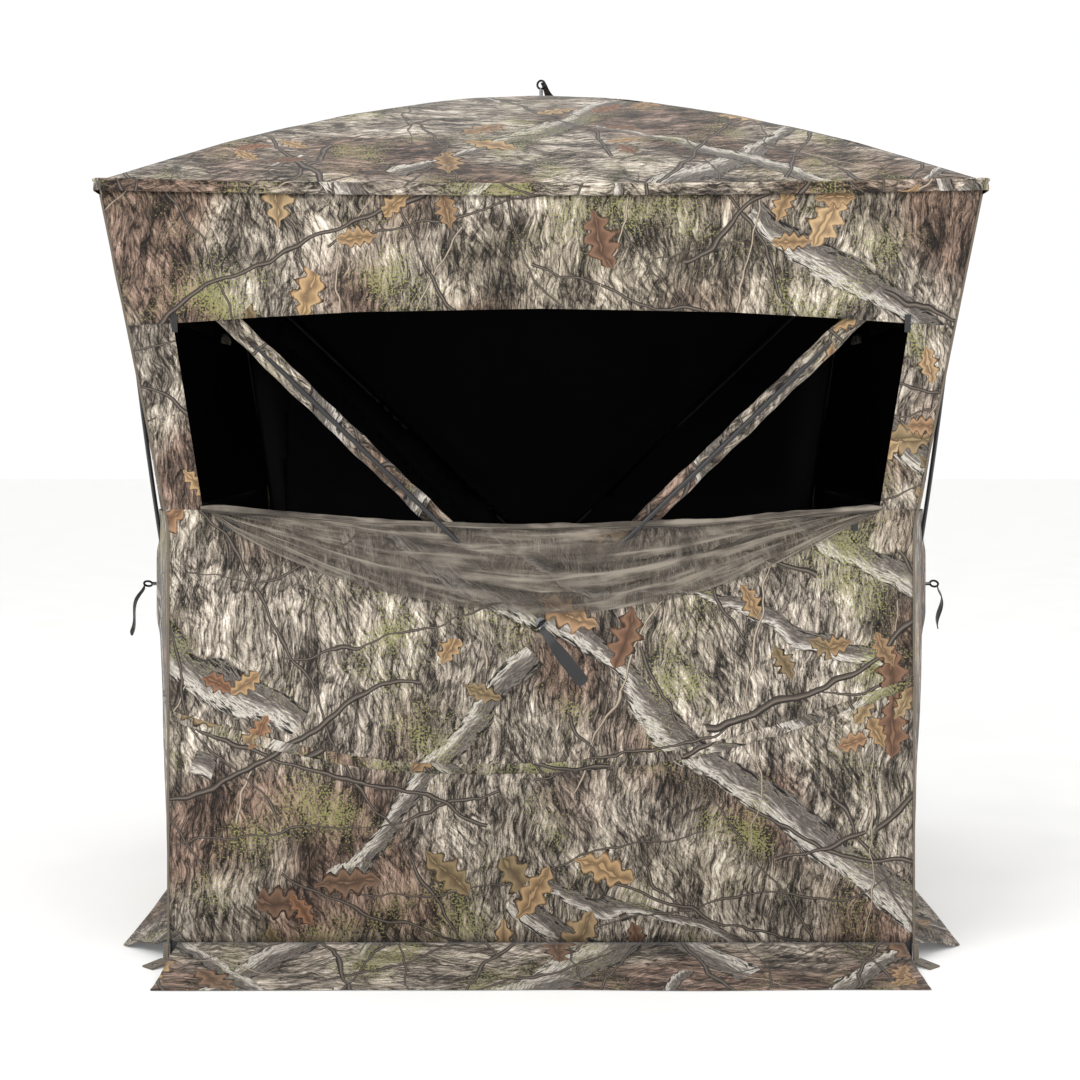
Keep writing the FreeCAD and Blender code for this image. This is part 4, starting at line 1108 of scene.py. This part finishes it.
@dataclass
class BackWall:
    """The back wall and its door."""

    sewing: Sewing
    gap: float = 0.003
    flap: float = 0.035
    flap_lift: float = -0.004

    def near_zip(self, u: float, z: float) -> bool:
        """Whether a flat point lies near one of the door's three free edges."""
        spot = Vector((u, z))
        for first, second in ((1, 0), (0, 3), (3, 2)):
            a, b = Vector(DOOR[first]), Vector(DOOR[second])
            share = min(1.0, max(0.0, (spot - a).dot(b - a) / (b - a).length_squared))
            if (spot - a.lerp(b, share)).length < self.flap:
                return True
        return False

    def build(self) -> None:
        """Makes the wall, and the door that swings in it."""
        cloth = wall_cloth()
        cloth.outline(DOOR)
        back = {"side": Side.BACK, "print_at": BACK_PRINT, "nodes": ["back_wall_panel"]}
        self.sewing.panel(cloth, "back_wall", keep=off_door, **back)
        black = {"lift": self.flap_lift, "outer": self.sewing.finishes.coating}
        self.sewing.panel(cloth, "door_zip_flap", keep=self.near_zip, **back, **black)
        middle = Vector((sum(p[0] for p in DOOR) / 4, sum(p[1] for p in DOOR) / 4))
        cut = cloth.pick(inside(DOOR))
        points, spots = [], []
        for u, z in cut.corners:
            flat = Vector((u, z))
            if u < DOOR[1][0] - 1e-4:
                near = flat - middle
                flat = middle + near * (1 - self.gap / max(0.1, near.length))
            points.append(Side.BACK.turn() @ SHELL.on_wall(flat.x, flat.y))
            spots.append((u + BACK_PRINT[0], z + BACK_PRINT[1]))
        door = make_piece("door_cloth", points, cut.faces, spots)
        self.sewing.finish(door, ["door_panel"], "hung", ["door_frame_zip"], cut.area())
        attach(door, "door")


@dataclass
class Sleeves:
    """Sleeves of printed cloth around the rods that cross the windows."""

    sewing: Sewing
    half_wide: float = 0.0190
    half_deep: float = 0.0105
    sunk: float = 0.0135

    def rod_height(self, u: float) -> float:
        """Height of the upper rods at a distance from the wall's middle."""
        return 0.7087 + (u - 0.0195) / 1.0427 * 1.0

    def one(self, side: Side, sign: int, nodes: Sequence[str]) -> None:
        """Makes one sleeve.

        Args:
            side: Its wall.
            sign: 1 to the right of the hub, -1 to the left.
            nodes: The CAD nodes that it stands for.
        """
        steps, around = 40, 20
        reach = np.linspace(0.168, 0.622, steps)
        points, spots = [], []
        lie = Vector((1.0, 1 / 1.0427)).normalized()
        for k, u in enumerate(reach):
            z = self.rod_height(u)
            pinch = 1 - 0.10 * math.sin(k * 0.9) * math.sin(k * 0.37 + sign)
            for j in range(around):
                angle = 2 * math.pi * j / around
                off = math.cos(angle) * self.half_wide * pinch
                deep = math.sin(angle) * self.half_deep
                flat = Vector((sign * (u - lie.y * off), z + lie.x * off))
                points.append(side.turn() @ SHELL.on_wall(flat.x, flat.y, deep - self.sunk))
                spots.append((9.1 + sign * 0.8 + 0.1 * j / around * 0.95, 0.3 + u * 1.39 + side.value))
        faces = net_faces(steps, around, closed=True)
        if sign < 0:
            faces = [f[::-1] for f in faces]
        obj = make_piece(f"{side.word}_sleeve_{'right' if sign > 0 else 'left'}", points, faces, spots)
        rod = f"{side.word}_pole_upper_{'right' if sign > 0 else 'left'}"
        self.sewing.finish(obj, nodes, "stretched", [rod], thick=THIN_CLOTH)
        self.sewing.follow(obj, side, Field.TOP)

    def build(self) -> None:
        """Makes the sleeves of the three walls with windows."""
        for side in (Side.FRONT, Side.RIGHT, Side.LEFT):
            nodes = ["front_pole_sleeves"] if side is Side.FRONT else ["side_pole_sleeves"]
            for sign in (-1, 1):
                self.one(side, sign, nodes)


@dataclass
class Roof:
    """The domed roof, in four fields between its rods, and the band around its eave."""

    sewing: Sewing
    band_tall: float = 0.024
    proud: float = 0.0045
    piping: float = 0.0028

    def fields(self) -> None:
        """Makes the roof's cloth."""
        starts = ((20.3, 4.0), (24.1, 7.7), (28.9, 2.1), (33.7, 5.2))
        rings = [0.006, 0.02, *np.linspace(0.04, SHELL.roof_half, 40)]
        shares = np.linspace(-1, 1, 57)
        for side in Side:
            points, spots = [], []
            for ring in rings:
                for share in shares:
                    points.append(side.turn() @ SHELL.on_roof(share * ring, -ring))
                    spots.append((starts[side.value][1] + ring * 1.05, starts[side.value][0] + share * ring))
            faces = net_faces(len(rings), len(shares))
            obj = make_piece(f"roof_field_{side.word}", points, [f[::-1] for f in faces], spots)
            carriers = ["roof_hub_housing", "top_corner_sockets"]
            self.sewing.finish(obj, ["roof_panel"], "stretched", carriers, SHELL.roof_half**2)
            start, end = Vector((0, -SHELL.roof_half, 0)), Vector((0, 0, 0))
            side.turn() @ start
            side.turn() @ end
            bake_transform(obj)

    def band(self) -> None:
        """Makes the folded band and its piping, which hang over the top of the walls."""
        steps, points, spots = 60, [], []
        inner = SHELL.roof_half - SHELL.corner_round
        profile = [(-0.002, 0.004)]
        for k in range(7):
            turn = math.pi * (0.75 - k / 6 * 1.1)
            out = self.proud - 0.001 + self.piping * math.cos(turn)
            profile.append((out, 0.001 + self.piping * math.sin(turn)))
        profile += [(self.proud - 0.0015, -0.004), (self.proud - 0.0005, -0.010), (self.proud, -0.016)]
        profile += [(self.proud - 0.0008, 0.004 - self.band_tall)]
        path = []
        for side in Side:
            turn = Matrix.Rotation(math.pi / 2 * side.value, 2)
            for k in range(steps):
                run = -inner + 2 * inner * k / (steps - 1)
                path.append((turn @ Vector((run, -inner)), turn @ Vector((0, -1))))
            for k in range(1, 6):
                bend = Matrix.Rotation(math.pi / 2 * (side.value + k / 6), 2)
                path.append((turn @ Vector((inner, -inner)), bend @ Vector((0, -1))))
        run = 0.0
        for spot, way in path:
            base = spot + way * SHELL.corner_round
            least = min(abs(base.x), abs(base.y))
            sag = SHELL.eave_sag * (1 - (least / SHELL.roof_half) ** 2)
            ripple = 0.0012 * noise.noise(Vector((base.x * 9, base.y * 9, 0.0)))
            run += 2 * inner / steps
            for out, up in profile:
                at = base + way * (out + ripple)
                points.append((at.x, at.y, SHELL.eave_z - sag + up))
                spots.append((15.0 + up, run))
        faces = net_faces(len(path) + 1, len(profile))
        count = len(points)
        faces = [[n % count for n in f] for f in faces]
        obj = make_piece("eave_band_cloth", points, faces, spots)
        self.sewing.finish(obj, ["eave_band"], "stretched", ["top_corner_sockets"], thick=THIN_CLOTH)
        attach(obj, "shell")

    def build(self) -> None:
        """Makes the roof."""
        self.fields()
        self.band()


@dataclass
class Skirts:
    """The flaps of cloth that lie out on the ground around the walls."""

    sewing: Sewing

    def one(self, side: Side, reach: float, half_top: float, half_low: float, wave: float) -> None:
        """Makes one skirt.

        Args:
            side: Its wall.
            reach: How far it lies out from the wall.
            half_top: Half its length at the wall's hem.
            half_low: Half its length at its outer edge.
            wave: Height of its creases.
        """
        columns, rows = 90, 16
        points, spots = [], []
        for i in range(rows):
            t = i / (rows - 1)
            half = half_top + (half_low - half_top) * t
            for j in range(columns):
                s = -1 + 2 * j / (columns - 1)
                u = s * half
                drop = 0.040 * (1 - t) ** 1.6
                seed = 3.7 + side.value * 5
                crease = noise.noise(Vector((u * 7 + t * 1.2, t * 2.2 + seed, seed)))
                crease += 0.6 * noise.noise(Vector((u * 19, t * 3.1, seed + 9)))
                lift = wave * (0.35 + crease) * math.sin(math.pi * min(1.0, t * 1.15)) * (0.4 + 0.6 * t)
                edge = 0.012 * noise.noise(Vector((u * 3, seed, 0.3))) * t
                z = 0.0026 + drop + max(0.0, lift)
                points.append(side.turn() @ Vector((u, -SHELL.base_half - 0.001 - (reach + edge) * t, z)))
                spots.append((40.0 + side.value * 3 + t * reach * 1.05, 2.0 + u))
        obj = make_piece(f"{side.word}_skirt", points, [f[::-1] for f in net_faces(rows, columns)], spots)
        self.sewing.finish(obj, ["ground_skirts"], "laid", ["floor"])
        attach(obj, "shell")

    def build(self) -> None:
        """Makes the four skirts."""
        for side in (Side.FRONT, Side.BACK):
            self.one(side, reach=0.185, half_top=0.717, half_low=0.736, wave=0.012)
        for side in (Side.RIGHT, Side.LEFT):
            self.one(side, reach=0.118, half_top=0.715, half_low=0.60, wave=0.02)


@dataclass
class WindowNetting:
    """The shoot-through netting, let down from the window and hanging in a swag along the sill."""

    sewing: Sewing
    low_edge = (
        *((-0.66, 0.900), (-0.60, 0.852), (-0.52, 0.813), (-0.42, 0.774), (-0.30, 0.742), (-0.15, 0.717)),
        *((0.0, 0.708), (0.12, 0.711), (0.25, 0.729), (0.38, 0.764), (0.50, 0.812), (0.60, 0.862)),
        (0.665, 0.893),
    )

    def hang(
        self,
        name: str,
        flats: Sequence[Point2],
        points: Sequence,
        faces: Sequence,
        spots: Sequence[Point2],
        material: bpy.types.Material,
        held: str,
        closed: bool,
    ) -> None:
        """Makes the pieces of one surface of netting.

        Args:
            name: The piece's name.
            flats: Each corner's flat place on the wall.
            points: Each corner in space.
            faces: Corner numbers of each face.
            spots: Each corner's place on the netting.
            material: Its netting.
            held: How it is held.
            closed: Whether it is a tube of netting.
        """
        for obj, part in self.sewing.split(name, flats, points, faces, spots):
            area = surface(obj) / 2 if closed else surface(obj)
            dress(obj, material)
            self.sewing.follow(obj, Side.FRONT, part)
            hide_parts("front_window_mesh")
            self.sewing.declare(obj, held, ["window_hooks", "front_lower_panel"], area, slot="netting")

    def swag(self) -> None:
        """Makes the hanging netting."""
        columns, rows, half = 133, 28, 0.664
        flats, points, spots = [], [], []
        for i in range(rows):
            t = i / (rows - 1)
            for j in range(columns):
                u = -half + 2 * half * j / (columns - 1)
                top = height_on(SILL, u) + 0.004
                deep = top - min(top - 0.006, height_on(self.low_edge, u))
                z = top - deep * t
                turn = 26 * t * (0.45 + deep * 2.6) + 3.0 * abs(u)
                turn += 2.2 * noise.noise(Vector((u * 2.5, t * 1.5, 5)))
                small = noise.noise(Vector((u * 20, z * 30, 2)))
                fold = 0.0036 * math.sin(turn) * math.sin(math.pi * min(1, t + 0.08)) + 0.002 * small
                ring = 0.011 * math.exp(-((u / 0.05) ** 2)) * t
                lift = 0.007 + 0.008 * math.sin(math.pi * t) * min(1, deep / 0.15) + fold + ring
                flats.append((u, z))
                points.append(SHELL.on_wall(u, z, max(0.003, lift)))
                spots.append((50 + u, z + 0.4 * t))
        faces = [f[::-1] for f in net_faces(rows, columns)]
        self.hang("window_netting", flats, points, faces, spots, self.sewing.finishes.netting, "hung", False)

    def roll(self) -> None:
        """Makes the bunched upper hem of the netting, along the sill."""
        steps, around = 150, 12
        flats, points, spots = [], [], []
        for i in range(steps):
            u = -0.668 + 1.336 * i / (steps - 1)
            z = height_on(SILL, u) + 0.004
            size = 0.0062 + 0.003 * noise.noise(Vector((u * 9, 0.5, 3.3))) + 0.004 * abs(u)
            size *= max(0.05, min(1.0, (0.674 - abs(u)) / 0.03)) ** 0.5
            for j in range(around):
                angle = 2 * math.pi * j / around
                way = Vector((u * 26, math.cos(angle) * 1.5, math.sin(angle) * 1.5))
                crease = 1 + 0.28 * noise.noise(way)
                up = math.sin(angle) * size * crease
                out = math.cos(angle) * size * 0.7 * crease
                flats.append((u, z + up))
                points.append(SHELL.on_wall(u, z + up, 0.0065 + out))
                spots.append((54 + u, j * 0.004))
        faces = [f[::-1] for f in net_faces(steps, around, closed=True)]
        material = self.sewing.finishes.bunched
        self.hang("window_netting_hem", flats, points, faces, spots, material, "gathered", True)

    def build(self) -> None:
        """Makes the netting and its hem."""
        self.swag()
        self.roll()


@dataclass
class FrontClosure:
    """The window's cloth closure, let down inside the wall, below the sill."""

    sewing: Sewing

    def build(self) -> None:
        """Makes the hanging closure."""
        low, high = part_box("front_window_closure")
        columns, rows = 90, 26
        points, spots = [], []
        for i in range(rows):
            t = i / (rows - 1)
            for j in range(columns):
                s = -1 + 2 * j / (columns - 1)
                x = (low.x + high.x) / 2 + s * (high.x - low.x) / 2 * (1 - 0.02 * t)
                wave = x * 31 + 2.2 * t + 2 * noise.noise(Vector((x * 3, t, 7)))
                ripple = 0.006 * math.sin(wave) * (0.3 + 0.7 * t)
                top = min(high.z, height_on(SILL, x) - 0.003)
                z = top + (low.z - top) * t - 0.004 * math.cos(x * 20) * t
                points.append((x, (low.y + high.y) / 2 + ripple, z))
                spots.append((60 + x, z))
        obj = make_piece("front_closure_cloth", points, [f[::-1] for f in net_faces(rows, columns)], spots)
        self.sewing.finish(obj, ["front_window_closure"], "hung", ["window_hooks"])
        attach(obj, "shell")


@dataclass
class PullStraps:
    """Doubled webbing loops through the rings of the hubs."""

    finishes: Finishes
    thick: float = 0.0026

    def loop(self) -> bpy.types.Object:
        """Models one strap: it hangs from the origin along -Z and bellies out towards -Y."""
        bpy.ops.object.select_all(action="DESELECT")
        bpy.ops.mesh.primitive_plane_add(size=1, location=(0, -0.001, -0.002), rotation=(math.pi / 2, 0, 0))
        obj = bpy.context.active_object
        obj.scale = (0.0125, 0.004, 1)
        bpy.ops.object.transform_apply(location=True, rotation=True, scale=True)
        steps = ((0.004, 0.010, 1.0), (0.007, 0.012, 1.15), (0.005, 0.014, 1.35), (0.001, 0.016, 1.25),
                 (-0.002, 0.018, 1.03), (-0.003, 0.018, 1.0), (-0.001, 0.017, 1.0), (0.002, 0.014, 0.98),
                 (0.003, 0.009, 0.92))
        bpy.ops.object.mode_set(mode="EDIT")
        sheet = bmesh.from_edit_mesh(obj.data)
        for face in sheet.faces:
            face.select_set(False)
        low = min(v.co.z for v in sheet.verts)
        for edge in sheet.edges:
            edge.select_set(all(v.co.z < low + 1e-5 for v in edge.verts))
        bmesh.update_edit_mesh(obj.data)
        for out, down, widen in steps:
            bpy.ops.mesh.extrude_edges_move(TRANSFORM_OT_translate={"value": (0, -out, -down)})
            bpy.ops.transform.resize(value=(widen, 1, 1))
        bpy.ops.object.mode_set(mode="OBJECT")
        apply_modifier(obj, "SUBSURF", levels=2, render_levels=2)
        apply_modifier(obj, "SOLIDIFY", thickness=self.thick, offset=0.0)
        apply_modifier(obj, "BEVEL", width=0.0006, segments=2)
        activate(obj)
        bpy.ops.object.shade_smooth_by_angle(angle=math.radians(50))
        return obj

    def hang(self, word: str, place: Matrix) -> None:
        """Puts a copy of the strap on one hub.

        Args:
            word: The hub's side, or roof.
            place: Where the strap goes.
        """
        obj = bpy.data.objects.new(f"{word}_webbing_loop", self.model.data.copy())
        bpy.context.scene.collection.objects.link(obj)
        obj.data.transform(place)
        dress(obj, self.finishes.webbing)
        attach(obj, f"{word}_strap")
        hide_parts(f"{word}_pull_strap")
        LOG.info("%s", obj.name)

    def build(self) -> None:
        """Makes the five straps."""
        self.model = self.loop()
        for side in Side:
            ring = Vector((0, -SHELL.hub_out - 0.0375, SHELL.hub_z - 0.006))
            lie = Matrix.Rotation(math.radians(-38), 4, "Y")
            self.hang(side.word, side.turn() @ Matrix.Translation(ring) @ lie)
        top = Vector((0.004, 0, SHELL.peak_z + 0.0375))
        lie = Matrix.Rotation(math.radians(66), 4, "Z") @ Matrix.Rotation(math.radians(-76), 4, "Y")
        self.hang("roof", Matrix.Translation(top) @ lie @ Matrix.Rotation(math.radians(-90), 4, "Z"))
        bpy.data.objects.remove(self.model)


@dataclass
class Hardware:
    """The moulded, turned and woven pieces whose shape comes from the frame; they get their finishes here."""

    finishes: Finishes

    def build(self) -> None:
        """Dresses each piece that is still shown."""
        finishes = self.finishes
        choices = {
            "housing": finishes.nylon,
            "sockets": finishes.nylon,
            "clamp": finishes.steel,
            "slider": finishes.steel,
            "pole": finishes.rod,
            "zip": finishes.zip,
            "hooks": finishes.nylon,
            "stake": finishes.binding,
            "bindings": finishes.binding,
            "strap": finishes.webbing,
        }
        for name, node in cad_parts.items():
            material = next((m for word, m in choices.items() if word in name), None)
            if material is None or node.hide_render:
                continue
            dress(node, material)
            LOG.info("%s: %s", name, material.name)


@dataclass
class Studio:
    """Camera, floor and soft light."""

    far: float = 4.737
    eye: float = 1.0825

    def lamp(self, name: str, place: tuple[float, float, float], aim: tuple[float, float, float], size: float,
             power: float) -> None:
        """Adds a soft box.

        Args:
            name: The lamp's name.
            place: Where it stands.
            aim: The point that it faces.
            size: Its width and height in metres.
            power: Its power in watts.
        """
        light = bpy.data.lights.new(name, "AREA")
        light.size, light.energy = size, power
        lamp = bpy.data.objects.new(name, light)
        lamp.location = place
        lamp.rotation_euler = (Vector(aim) - Vector(place)).to_track_quat("-Z", "Y").to_euler()
        bpy.context.scene.collection.objects.link(lamp)

    def build(self) -> None:
        """Sets up the studio."""
        scene = bpy.context.scene
        camera = bpy.data.objects.new("camera", bpy.data.cameras.new("camera"))
        camera.location = (0.0, -self.far, self.eye)
        camera.rotation_euler = (math.pi / 2, 0.0, 0.0)
        camera.data.lens, camera.data.sensor_width = 67.5, 36.0
        camera.data.shift_x, camera.data.shift_y = -0.001, -0.115
        scene.collection.objects.link(camera)
        scene.camera = camera
        bpy.ops.object.select_all(action="DESELECT")
        bpy.ops.mesh.primitive_plane_add(size=60, location=(0, 0, -0.0005))
        floor = bpy.context.active_object
        floor.name = "studio_floor"
        bpy.ops.object.transform_apply(location=True, rotation=True, scale=True)
        dress(floor, studio_paper())
        world = bpy.data.worlds.new("soft_room")
        world.use_nodes = True
        room = world.node_tree.nodes["Background"]
        room.inputs["Color"].default_value = (1.0, 1.0, 1.0, 1.0)
        # The camera sees a pure white room, and the blind is lit by a dimmer one.
        seen = add_node(world.node_tree, "LightPath")
        glow = add_node(world.node_tree, "Math.MULTIPLY_ADD", seen, 0.1, 0.92)
        world.node_tree.links.new(glow, room.inputs["Strength"])
        scene.world = world
        scene.view_settings.view_transform = "Standard"
        self.lamp("key_box", (-2.6, -4.6, 4.2), (0.0, 0.0, 0.9), 2.6, 150.0)
        self.lamp("fill_box", (3.4, -4.0, 2.4), (0.0, 0.0, 0.8), 3.0, 60.0)
        self.lamp("top_box", (0.0, 0.6, 5.0), (0.0, 0.0, 1.5), 3.0, 20.0)


def main() -> None:
    """Builds the blind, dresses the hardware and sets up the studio."""
    logging.basicConfig(level=logging.INFO, format="%(name)s %(message)s")
    Studio().build()
    finishes = Finishes()
    sewing = Sewing(finishes)
    FrontWall(sewing).build()
    for side in (Side.RIGHT, Side.LEFT):
        SideWall(sewing, side).build()
    BackWall(sewing).build()
    Sleeves(sewing).build()
    Roof(sewing).build()
    Skirts(sewing).build()
    WindowNetting(sewing).build()
    FrontClosure(sewing).build()
    PullStraps(finishes).build()
    Hardware(finishes).build()


if __name__ == "__main__":
    main()
